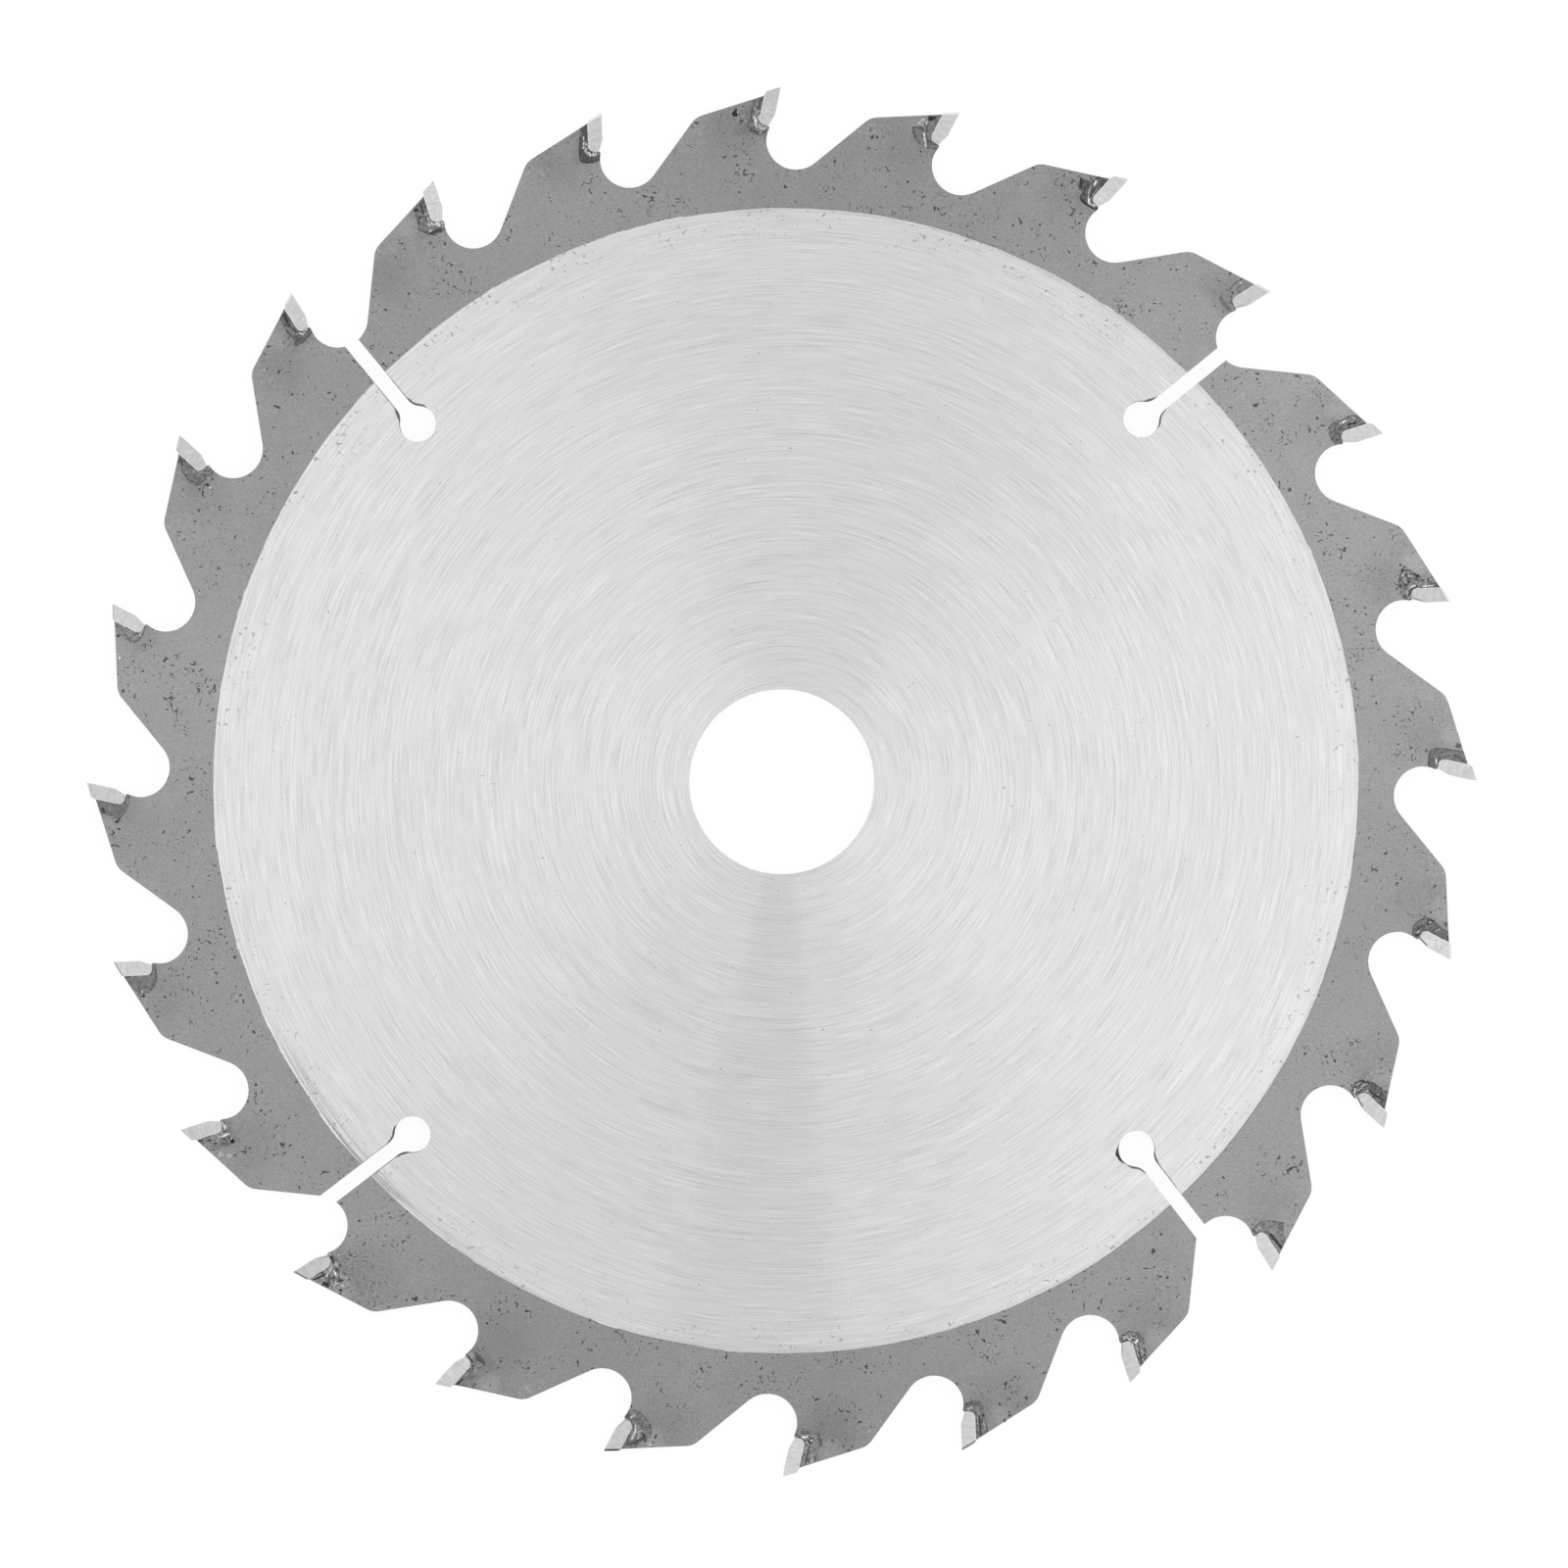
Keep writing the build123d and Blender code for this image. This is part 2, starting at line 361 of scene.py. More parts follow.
joint(
    top=4.1, edge=((4.3, 3), (4.3, 4.2), (4.6, 5.2), (4.2, 6), (3.2, 6.3)), foot=6.3,
    tone=0.22, lumps=0.2, stain=(5, 0.18),
    cloud=(7, 5, 6, 0.03), pale=0, shade=1.06,
    lines=(
        (4.1, 2.05, 3.95, 2, 0.22, DARK), (3.52, 4.15, 3.45, 4.1, 0.22, BLACK),
        (3.75, 2.3, 3.65, 2.35, 0.2, SILVER), (3.35, 4.6, 3, 5.1, 0.12, DARK),
        (3, 5.1, 2.3, 5.35, 0.12, DARK), (4.15, 2.6, 4.2, 4.2, 0.13, 0.12),
        (3.4, 2.4, 3.5, 3.3, 0.12, 0.12), (4.2, 5.8, 2.2, 6, 0.5, 0.16),
    ),
    spots=((5.6, 2.45, 0.2, 0.1), (6.3, 4.2, 0.2, 0.24)),
)
joint(
    top=3.9, edge=((4.3, 2.6), (4.4, 3.8), (4.75, 5), (4.3, 6), (3.3, 6.45)), foot=6.35,
    tone=0.15, lumps=0.6, stain=(2, 0.12),
    cloud=(6, 7, 6, 0.07), pale=0.04, shade=1.05,
    lines=(
        (4.1, 3.4, 4.05, 4.3, 0.22, BRIGHT), (4.05, 2.5, 3.6, 2.3, 0.15, GREY),
        (3.5, 2.9, 3.2, 2.4, 0.1, SILVER), (3.2, 2.5, 3.4, 3.4, 0.26, BLACK),
        (3.1, 5.15, 2.2, 5.4, 0.13, DARK), (4.3, 2.8, 4.3, 3.6, 0.16, DARK),
    ),
    spots=((6.3, 6.7, 0.2, 0.08), (5.1, 5, 0.12, 0.12)),
)
joint(
    top=4, edge=((3.8, 2.6), (4.1, 3.3), (4.9, 3.7), (5.9, 5.1), (5.4, 6), (4.2, 6.6), (3.2, 6.5)),
    foot=6.1, tone=0.16, lumps=1, stain=(2, 0.15),
    cloud=(5, 8.5, 5, 0.11), pale=0.12, shade=1, sparks=0.5,
    lines=(
        (4.95, 4.15, 4.5, 3.75, 0.17, BLACK), (4.5, 3.75, 4.1, 3.95, 0.16, BLACK),
        (3.15, 3.9, 3.15, 4.8, 0.14, BLACK), (3.15, 4.8, 2.6, 5.35, 0.16, BLACK),
        (2.6, 5.35, 2.1, 5.6, 0.16, BLACK), (3.35, 4.4, 3.25, 4.9, 0.16, SILVER),
        (5.6, 5.3, 5.1, 5.65, 0.13, SILVER), (4.95, 4.8, 4.85, 4.85, 0.16, SILVER),
        (2.8, 5.7, 2.5, 5.8, 0.14, SILVER), (2.72, 2, 2.98, 3.5, 0.11, SILVER),
        (4.2, 2.1, 4.2, 2.35, 0.2, DARK), (5.8, 5.2, 5.6, 5.6, 0.2, BLACK),
    ),
    spots=((6.55, 5.6, 0.17, 0.08), (3.6, 6.9, 0.16, 0.1), (4.4, 7, 0.12, 0.14)),
)
joint(
    top=4, edge=((4.2, 2.8), (4.4, 4.2), (4.45, 5.4), (4.2, 6.3), (3.2, 6.6)), foot=6.6,
    tone=0.15, lumps=0.15, stain=(1.8, 0.1),
    cloud=(6, 7, 6, 0.09), pale=0.1, shade=1,
    lines=(
        (2.8, 1.8, 3.4, 3, 0.3, 0.09), (3.75, 3.2, 3.6, 4.8, 0.16, 0.22),
        (2.95, 5.5, 2.15, 5.46, 0.1, BRIGHT), (2.9, 5.33, 2.1, 5.28, 0.08, DARK),
        (4.1, 6.2, 2.3, 6.45, 0.18, 0.1),
    ),
    spots=((4.75, 2.35, 0.36, 0.1), (4.75, 2.35, 0.17, 0.26)),
)
joint(
    top=3.7, edge=((3.9, 2.6), (4.45, 3.5), (4.8, 4.6), (4.4, 5.6), (3.4, 6.4)), foot=6.3,
    tone=0.12, lumps=0.45, stain=(1.8, 0.12),
    cloud=(7, 7, 6, 0.07), pale=0.09, shade=0.93,
    lines=(
        (4.45, 4.2, 4, 4.6, 0.5, 0.07), (4.25, 4.3, 4.15, 4.4, 0.22, GREY),
        (2.8, 5.5, 2.35, 5.65, 0.13, GREY), (2.3, 5.4, 2, 5.85, 0.18, BLACK),
        (3.65, 2.9, 3.6, 2.95, 0.13, GREY), (3.3, 3.2, 3.3, 3.3, 0.1, SILVER),
        (4.4, 5, 3.6, 6, 0.14, 0.2),
    ),
    spots=((4.5, 2.15, 0.28, 0.12), (4.5, 2.15, 0.12, 0.28)),
)
joint(
    top=4.6, edge=((4.65, 3), (4.65, 4.4), (4.4, 5.3), (4, 6.2), (3, 6.45)), foot=6.25,
    tone=0.1, lumps=0.8, stain=(2.6, 0.15),
    cloud=(7, 7, 6, 0.06), pale=0.05, shade=0.95, sparks=0.8,
    lines=(
        (3.65, 2.9, 3.6, 3.1, 0.17, 0.5), (4.1, 5, 3.4, 5.5, 0.13, 0.35),
        (3.3, 5.3, 2.8, 5.65, 0.13, 0.35), (2.7, 6.05, 2.1, 5.85, 0.14, SILVER),
        (3.2, 2, 3.4, 4.3, 0.2, BLACK), (3.1, 5.25, 2.2, 5.55, 0.13, BLACK),
        (3.7, 5.9, 3.2, 6.2, 0.14, GREY),
    ),
    spots=((6.5, 2.75, 0.15, 0.6), (6.1, 2.6, 0.1, 0.6)),
)
joint(
    top=4.2, edge=((4.8, 2.9), (5.7, 3.7), (5.2, 4.6), (4.3, 5.7), (3.2, 6.25)), foot=6.15,
    tone=0.19, lumps=0.2, stain=(2.4, 0.1),
    cloud=(6, 7, 6, 0.06), pale=0.02, shade=0.95,
    lines=(
        (3.1, 1.7, 3.35, 3.9, 0.46, 0.045), (3.85, 1.9, 3.85, 2.3, 0.16, DARK),
        (2.1, 5.45, 2, 6.1, 0.16, DARK), (3, 5.65, 2.4, 5.75, 0.2, 0.33),
        (3.3, 4.65, 2.2, 5.3, 0.11, 0.1), (4.9, 2.9, 4.75, 3.9, 0.1, 0.08),
        (5.3, 3.3, 5.1, 4.1, 0.09, 0.08), (4.5, 2.3, 4.4, 3.5, 0.09, 0.09),
        (5.75, 3.5, 5.45, 4.3, 0.12, DARK),
    ),
    spots=((5.85, 3.1, 0.1, 0.14), (5.2, 2.3, 0.2, 0.26)),
)
joint(
    top=3.5, edge=((4, 2.4), (4.4, 3.6), (4.8, 4.8), (4, 5.7), (3.2, 6.2)), foot=6.1,
    tone=0.17, lumps=0.6, stain=(2, 0.12),
    cloud=(7, 7, 6.5, 0.09), pale=0.07, shade=0.93, sparks=0.7,
    lines=(
        (2.75, 1.5, 3.2, 3, 0.2, BLACK), (3.35, 1.8, 3.1, 2.4, 0.13, DARK),
        (3.4, 3.4, 3.6, 4, 0.22, DARK), (3.85, 4.6, 3.35, 4.3, 0.16, SILVER),
        (3.1, 5, 2.8, 5.25, 0.13, BRIGHT), (3.4, 4.75, 3.15, 4.95, 0.17, BLACK),
        (2.6, 5.2, 2.1, 5.4, 0.22, BLACK), (2.85, 5.65, 2.3, 5.8, 0.2, 0.38),
    ),
    spots=((5, 4.75, 0.12, 0.16),),
)
joint(
    top=4.1, edge=((4.2, 2.6), (4.2, 4), (4.4, 5.2), (4.1, 6.1), (3.1, 6.5)), foot=6.3,
    tone=0.15, lumps=0.45, stain=(2.4, 0.15),
    cloud=(7.5, 6, 6.5, 0.12), pale=0.12, shade=0.95,
    lines=(
        (3, 1.7, 3.5, 4.2, 0.26, 0.05), (4.1, 4.05, 4, 4.2, 0.22, BLACK),
        (3.8, 2.2, 3.9, 3.4, 0.13, 0.33), (2.9, 5.65, 2.2, 5.5, 0.2, 0.38),
        (4, 5.9, 2.4, 6.2, 0.16, 0.11),
    ),
    spots=((6.7, 2.7, 0.22, 0.08),),
)
joint(
    top=4.4, edge=((4.6, 2.6), (4.7, 3.6), (5.45, 4.3), (5, 5.5), (3.9, 6.2), (3, 6.45)),
    foot=6.2, tone=0.19, lumps=0.5, stain=(2.4, 0.12),
    cloud=(6.5, 6.5, 6, 0.16), pale=0.14, shade=0.94, sparks=0.5,
    lines=(
        (3.1, 1.9, 3.6, 4, 0.3, DARK), (4, 1.95, 3.9, 2.5, 0.22, 0.5),
        (3.35, 2.3, 3.6, 2, 0.12, BLACK), (3.95, 4.6, 3.5, 4.75, 0.2, BLACK),
        (3.5, 4.75, 3.75, 5.2, 0.18, BLACK), (3.92, 4.85, 3.88, 4.88, 0.16, BRIGHT),
        (3.35, 5.45, 2.95, 5.3, 0.15, BRIGHT), (2.9, 5.3, 2.5, 5.38, 0.12, BRIGHT),
        (2.6, 5.2, 2, 5.7, 0.14, BLACK),
        (3.5, 5.95, 2.6, 5.95, 0.45, 0.12), (5.3, 4.3, 5, 5.2, 0.3, 0.1),
    ),
    spots=((6.8, 4.9, 0.2, 0.12), (5.3, 7.2, 0.2, 0.14), (5, 5.7, 0.12, 0.1)),
)
joint(
    top=4.2, edge=((4.5, 2.6), (4.9, 3.2), (5.7, 3.7), (5.7, 4.8), (4.9, 5.8), (3.9, 6.5), (3.1, 6.8)),
    foot=6.6, tone=0.16, lumps=0.4, stain=(1.8, 0.1),
    cloud=(7, 6, 6.5, 0.13), pale=0.12, shade=1.01,
    lines=(
        (2.9, 2, 4, 2.6, 0.45, 0.09), (4, 2.6, 4.9, 3.5, 0.4, 0.08),
        (4.9, 3.5, 4.6, 4, 0.3, 0.05), (3.3, 2.9, 3.5, 3.9, 0.13, SILVER),
        (3.5, 3.9, 3.25, 5, 0.1, SILVER), (4.1, 3.2, 4.1, 4, 0.11, SILVER),
        (4.65, 4.1, 4.55, 4.2, 0.14, SILVER), (4.25, 4.3, 3.9, 3.95, 0.13, SILVER),
        (2.85, 6.1, 2.4, 5.65, 0.19, SILVER), (2.2, 5.5, 2, 5.9, 0.22, DARK),
        (5.6, 5, 5.2, 5.5, 0.13, DARK),
    ),
    spots=((6.35, 3.9, 0.18, 0.05), (5.85, 2.8, 0.42, 0.38), (6.3, 3.2, 0.12, 0.15)),
)
joint(
    top=3.6, edge=((4.2, 2.4), (4.2, 3.8), (4.2, 4.9), (4.65, 5.7), (4, 6.2), (3.1, 6.5)),
    foot=6.4, tone=0.19, lumps=0.3, stain=(3.2, 0.16),
    cloud=(5, 9, 7, 0.12), pale=0.16, shade=0.94,
    lines=(
        (2.6, 1.5, 2.9, 2.4, 0.26, 0.04), (4.3, 5.85, 3.2, 5.95, 0.6, 0.09),
        (3.42, 4.2, 3.25, 4.8, 0.15, BLACK), (2.9, 5.2, 2.1, 5.4, 0.16, BLACK),
        (2.6, 5.55, 2.2, 6, 0.16, 0.5), (3.3, 2.5, 3.5, 3.6, 0.4, 0.14),
    ),
    spots=(
        (4.7, 2.2, 0.22, 0.1), (4.3, 2.4, 0.15, 0.12), (6.2, 7.1, 0.18, 0.1), (5.8, 7.4, 0.14, 0.12),
    ),
)
joint(
    top=5, edge=((5.4, 3), (5.8, 4.1), (5, 5.2), (4, 5.7), (3, 5.8)), foot=5.7,
    tone=0.2, lumps=1, stain=(3.6, 0.14),
    cloud=(8, 7, 7, 0.11), pale=0.07, shade=0.98, sparks=0.5,
    lines=(
        (4.7, 2.35, 4.1, 2.25, 0.4, BLACK), (2.75, 1.6, 3.3, 3, 0.22, BLACK),
        (3.6, 3.2, 3.4, 4.2, 0.16, SILVER), (4.5, 4.1, 4, 4.3, 0.22, BRIGHT),
        (3.65, 5.2, 3.2, 5.35, 0.16, SILVER), (3, 5.2, 2.2, 5.5, 0.3, BLACK),
        (5.5, 3.1, 4.6, 3.6, 0.13, GREY), (5, 4.2, 3.9, 5, 0.13, DARK),
        (4.4, 2.8, 3.8, 3.6, 0.16, DARK), (5, 3.2, 4.3, 4, 0.12, DARK),
    ),
    spots=(
        (6.4, 3.1, 0.24, 0.07), (5.15, 5.15, 0.15, 0.1), (6.1, 3.8, 0.3, 0.4),
        (5.7, 4.9, 0.2, 0.42), (6.7, 2.8, 0.14, 0.08),
    ),
)
joint(
    top=4.3, edge=((4.7, 2.6), (4.9, 3.8), (5.1, 4.8), (4.1, 5.5), (3.2, 5.8)), foot=5.6,
    tone=0.18, lumps=0.75, stain=(2.6, 0.12),
    cloud=(6, 7, 6.5, 0.1), pale=0, shade=0.94, sparks=0.8,
    lines=(
        (2.55, 1.3, 2.7, 1.8, 0.22, BLACK), (3.6, 4.3, 3.7, 5.4, 0.19, BRIGHT),
        (2.9, 5.25, 2.5, 5.6, 0.16, BRIGHT), (2.3, 5.35, 2.25, 5.4, 0.14, SILVER),
        (3.2, 4.9, 3, 5.4, 0.11, DARK), (3.9, 3.55, 3.7, 3.65, 0.2, 0.38),
    ),
    spots=(
        (4.9, 5.3, 0.34, 0.02), (4.5, 5.4, 0.15, 0.55), (6.7, 4.7, 0.2, 0.1),
        (6.6, 6.4, 0.18, 0.1), (5.7, 3.1, 0.48, 0.36), (6.4, 4, 0.42, 0.37), (6.9, 6.9, 0.15, 0.07),
    ),
)
joint(
    top=4.1, edge=((4.9, 2.6), (5.4, 3.3), (5.2, 4.2), (4.6, 5), (3.6, 5.6)), foot=5.7,
    tone=0.17, lumps=0.1, stain=(1.6, 0.08),
    cloud=(6, 6, 6, 0.09), pale=0, shade=0.92,
    lines=(
        (2.5, 1.4, 2.6, 2, 0.22, DARK), (4.9, 4.5, 3.8, 5.3, 0.16, 0.1),
        (3.8, 5.3, 2.2, 5.65, 0.16, 0.1), (3.2, 4.85, 2.1, 5.15, 0.11, DARK),
        (5, 3.05, 4.9, 3.1, 0.15, SILVER),
    ),
    spots=(
        (5.6, 3.1, 0.2, 0.04), (5.5, 2.7, 0.12, 0.08), (6.5, 5.9, 0.17, 0.07), (6.3, 6.7, 0.18, 0.13),
    ),
)
joint(
    top=4.2, edge=((4.3, 2.5), (4.6, 3.4), (5.05, 4.3), (4.4, 5), (3.4, 5.5)), foot=5.75,
    tone=0.16, lumps=0.12, stain=(2, 0.1),
    cloud=(6, 6, 6, 0.04), pale=0.02, shade=0.92,
    lines=(
        (4.1, 2.35, 3.5, 2.1, 0.36, 0.06), (2.9, 5.1, 2.1, 5.3, 0.11, DARK),
        (3, 5.5, 2.1, 5.55, 0.13, 0.26), (3.4, 5.6, 2.1, 5.75, 0.11, 0.11),
        (5, 4.3, 4.2, 5, 0.15, 0.1),
    ),
    spots=(
        (5.3, 4.05, 0.22, 0.05), (5.05, 4.35, 0.18, 0.04), (4.95, 3.45, 0.13, 0.11),
        (5, 3.9, 0.1, 0.5),
    ),
)
joint(
    top=3.4, edge=((3.9, 2.5), (4.3, 3.6), (4.5, 4.6), (3.8, 5.2), (2.9, 5.4)), foot=5.4,
    tone=0.21, lumps=0.25, stain=(2.4, 0.12),
    cloud=(4, 7, 5, 0.04), pale=0, shade=1,
    lines=(
        (2.8, 1.55, 2.8, 1.7, 0.18, DARK), (3.2, 5, 2.3, 5.2, 0.16, 0.38),
        (3.35, 4.3, 3, 4.8, 0.11, DARK), (4.2, 4.6, 3.6, 5.1, 0.3, 0.15),
    ),
    spots=(
        (4.1, 2.2, 0.22, 0.08), (6.95, 3.1, 0.24, 0.75), (6.42, 2.85, 0.17, 0.65),
        (4.6, 6.1, 0.16, 0.14),
    ),
)
joint(
    top=3.5, edge=((3.9, 2.4), (4.5, 3.4), (4.9, 4.6), (4.7, 5.6), (3.7, 6), (2.8, 6.5)),
    foot=6.5, tone=0.16, lumps=0.3, stain=(2.8, 0.16),
    cloud=(5, 7, 6, 0.1), pale=0.02, shade=0.93, sparks=0.4,
    lines=(
        (2.65, 1.7, 3.3, 2.4, 0.3, 0.07), (3.6, 6.2, 3, 6.3, 0.13, GREY),
        (4.7, 4.4, 4.4, 5.5, 0.3, 0.12), (4, 3.3, 3.9, 3.35, 0.12, 0.38),
        (4.6, 5.7, 3.4, 6.1, 0.13, DARK),
    ),
    spots=(
        (5, 6, 0.18, 0.08), (3.95, 6.6, 0.26, 0.06), (4.2, 6.3, 0.14, 0.1), (4.1, 7.2, 0.16, 0.6),
        (2.9, 6.9, 0.18, 0.1), (6.2, 4.1, 0.15, 0.12),
    ),
)
joint(
    top=3.6, edge=((3.8, 2.5), (4.3, 3.8), (4.3, 5), (4.7, 5.7), (4, 6.1), (3, 6.25)),
    foot=6.2, tone=0.11, lumps=0.2, stain=(2.2, 0.18),
    cloud=(8, 6.5, 6.5, 0.13), pale=0.08, shade=0.92, sparks=0.7,
    lines=(
        (2.8, 1.8, 3.2, 2.7, 0.4, 0.045), (3.3, 3, 3.25, 4.8, 0.13, BLACK),
        (3.8, 3.3, 3.8, 4.6, 0.3, 0.18), (3.1, 5, 2.9, 5.45, 0.14, SILVER),
        (2.65, 5.35, 2.55, 5.4, 0.14, SILVER), (2.2, 5.3, 2.15, 5.4, 0.12, SILVER),
        (3.9, 3.1, 3.88, 3.12, 0.12, 0.5), (4.4, 5.8, 3, 6, 0.11, 0.16),
    ),
    spots=(),
)
joint(
    top=4.3, edge=((4.5, 2.6), (4.7, 3.8), (5.15, 4.8), (4.5, 5.8), (3.7, 6.5), (2.9, 6.6)),
    foot=6.4, tone=0.15, lumps=0.55, stain=(2.6, 0.16),
    cloud=(12, 8, 5.5, 0.14), pale=0.1, shade=0.92, sparks=1,
    lines=(
        (4.3, 2.25, 3.9, 2.35, 0.34, BLACK), (3.1, 1.9, 3.5, 3.2, 0.26, 0.04),
        (3.45, 3.6, 3.45, 4.3, 0.13, BLACK), (3.1, 5.15, 2.3, 5.4, 0.2, SILVER),
        (3.82, 5.7, 3.78, 5.72, 0.17, BRIGHT), (2.5, 5.75, 2.3, 5.7, 0.15, SILVER),
        (3.55, 4.9, 3.45, 4.95, 0.13, SILVER), (3.9, 6.1, 2.6, 6.25, 0.4, 0.06),
    ),
    spots=((4.6, 7.2, 0.2, 0.1),),
)
joint(
    top=3.3, edge=((3.8, 2.8), (4.2, 4), (4.5, 5.2), (4.4, 6.1), (3.3, 6.5)), foot=6.5,
    tone=0.08, lumps=0.15, stain=(1.6, 0.12),
    cloud=(7, 5, 6.5, 0.12), pale=0.06, shade=1, sparks=0.9,
    lines=(
        (3.2, 2.8, 3.5, 3.9, 0.13, 0.6), (3.62, 4.2, 3.58, 4.25, 0.2, BRIGHT),
        (3.45, 4.6, 3.25, 5.2, 0.16, 0.6), (3, 5.5, 2.1, 5.55, 0.2, 0.6),
        (3.3, 2, 3.5, 2.6, 0.2, 0.14),
    ),
    spots=((4.75, 2.45, 0.14, 0.12), (4.3, 2.35, 0.12, 0.12), (5.5, 2.9, 0.25, 0.2)),
)


# Materials

class Tooth:
    """A place on the nearest tooth, turned back onto tooth 0."""

    def __init__(self, nodes, place):
        self.nodes = nodes
        x, y, _ = nodes.split(place)
        pitches = nodes.math("ARCTAN2", y, x) / PITCH - TEETH / 4
        number = nodes.math("FLOOR", pitches + 0.25)
        turned = nodes.turn(place, number * -PITCH)
        self.share = nodes.math("FRACT", (number * -1.0 + 0.5 + TEETH) / TEETH)
        from_tip = turned - (0.0, TIP_RADIUS, 0.0)
        self.x, self.y, _ = nodes.split(from_tip)
        self.rake_x, self.rake_y, self.rake_z = nodes.split(nodes.turn(from_tip, HOOK))

    def pick(self, values):
        """The tooth's own one of 24 values or triples."""
        return self.nodes.choice(self.share, values)

    def away(self, x, y):
        """How far it is from a place on the upright tooth."""
        return self.nodes.length(self.x - x, self.y - y)


class Disc:
    """A place on a face, as seen from the centre of the grinding."""

    def __init__(self, nodes, place):
        self.nodes = nodes
        self.x, self.y, z = nodes.split(place)
        centred = nodes.join(self.x - GROUND_SHIFT, self.y)
        self.radius = nodes.vector("LENGTH", centred)
        self.outward = nodes.vector("NORMALIZE", centred)
        self.side = nodes.math("SIGN", z) * FACES_APART

    def along_arcs(self, round_scale, radial_scale):
        """Noise places that turn with the angle, as a ring."""
        x, y, _ = self.nodes.split(self.outward)
        depth = self.radius * radial_scale + self.side
        return self.nodes.join(x * round_scale, y * round_scale, depth)

    def brushed(self, length_scale, radial_scale):
        """Noise places stretched along the arcs, evenly at every radius."""
        depth = self.radius * radial_scale + self.side
        return self.nodes.join(self.x * length_scale, self.y * length_scale, depth)

    def towards(self, x, y):
        """How squarely a place lies in a direction from the centre."""
        return self.nodes.vector("DOT_PRODUCT", self.outward, (x, y, 0.0))


def round_share(nodes, place):
    """How far clockwise a place lies from the first tooth, as a share from 0 to 1."""
    x, y, _ = nodes.split(place)
    turns = (nodes.math("ARCTAN2", x, y) + (4 * math.pi + 0.08)) / (2 * math.pi)
    return nodes.math("FRACT", turns) * (TEETH / (TEETH + 1))


def curved_pits(nodes, place, size, width, rarity):
    """Short, dark, curved marks in clusters: 1 in a mark and 0 outside it."""
    lines = nodes.noise(place, 1.0 / size, 0.0, 0.4, 0.5)
    on_line = nodes.fall(abs(lines - 0.5), 0.5 * width, width)
    pieces = nodes.noise(place + ELSEWHERE["pit_pieces"], 1.7 / size, 0.0)
    clusters = nodes.noise(place + ELSEWHERE["pit_clusters"], 0.25 / size, 1.0)
    return on_line * nodes.rise(pieces, 0.60, 0.64) * nodes.rise(clusters, rarity, rarity + 0.05)


# Dark slivers at each slot, in the order of SLOT_SHIFTS: how wide they are at the neck and
# along the side, and how much of a crescent lies at the hole
SLIVER_LEFT = ((0.30, 0.02, 0.0), (0.34, 0.13, 0.0), (0.28, 0.13, 0.0), (0.26, 0.15, 0.0))
SLIVER_RIGHT = ((0.22, 0.04, 0.0), (0.28, 0.15, 0.0), (0.26, 0.10, 0.0), (0.24, 0.0, 1.0))
CRESCENT_WIDTH = 0.5


def slot_dark_slivers(nodes, place):
    """Black slivers along the slots: how much of them there is at a place."""
    x, y, _ = nodes.split(place)
    quarter = nodes.math("FLOOR", nodes.math("ARCTAN2", y, x) / (math.pi / 2) + 4.0)
    turned = nodes.turn(place, quarter * (-math.pi / 2))
    pick = nodes.math("FRACT", (quarter + 0.5) / 4.0)
    leans = [(SHIFT_RANGE + shift) / (2 * SHIFT_RANGE) for shift in SLOT_SHIFTS]
    lean = nodes.math("RADIANS", nodes.choice(pick, leans) * (2 * SHIFT_RANGE))
    turned = nodes.turn(turned, math.radians(SHIFT_RANGE) - lean)
    diagonal = SLOT_HOLE_PLACE * math.sqrt(0.5)
    local = nodes.turn(turned - (diagonal, diagonal, 0.0), -SLOT_DIRECTION)
    along, across, _ = nodes.split(local)
    out = abs(across)

    # Distance from the cut outline: the hole, its neck and the straight sides
    neck_out = SLOT_HALF_WIDTH + SLOT_NECK
    neck_end = math.sqrt((SLOT_HOLE_RADIUS + SLOT_NECK) ** 2 - neck_out**2)
    neck_start = neck_end * SLOT_HOLE_RADIUS / (SLOT_HOLE_RADIUS + SLOT_NECK)
    from_hole = nodes.length(along, across) - SLOT_HOLE_RADIUS
    from_side = out - SLOT_HALF_WIDTH
    from_neck = SLOT_NECK - nodes.length(along - neck_end, out - neck_out)
    in_neck = (along > neck_start) * (along < neck_end) * (out < neck_out)
    distance = nodes.mix(in_neck, nodes.lower(from_hole, from_side), from_neck)

    # How wide the slivers are: widest on the necks, thin along the sides
    left = across > 0.0
    left_thick, left_thin, _ = nodes.choice(pick, SLIVER_LEFT)
    right_thick, right_thin, crescent = nodes.choice(pick, SLIVER_RIGHT)
    thick = nodes.mix(left, right_thick, left_thick)
    thin = nodes.mix(left, right_thin, left_thin)
    on_neck = nodes.rise(along - nodes.mix(left, 0.6, 1.5), 0.0, 1.0)
    on_neck = on_neck * nodes.fall(along, 2.8, 3.9)
    on_side = nodes.rise(along, 2.6, 3.6) * nodes.fall(along, 6.5, 9.5)
    in_crescent = nodes.rise(along, -2.4, -1.2) * nodes.fall(along, -0.6, 1.2)
    in_crescent = in_crescent * (1.0 - left) * crescent
    rough = nodes.swing(nodes.noise(place, 1.8, 2.0, 0.6), 0.5)
    width = on_neck * thick + on_side * thin + in_crescent * CRESCENT_WIDTH
    width = width * (1.0 + rough)
    cover = nodes.fall(distance - width, -0.10, 0.02) * (width > 0.03)
    return cover * (0.85 + in_crescent * 0.13)


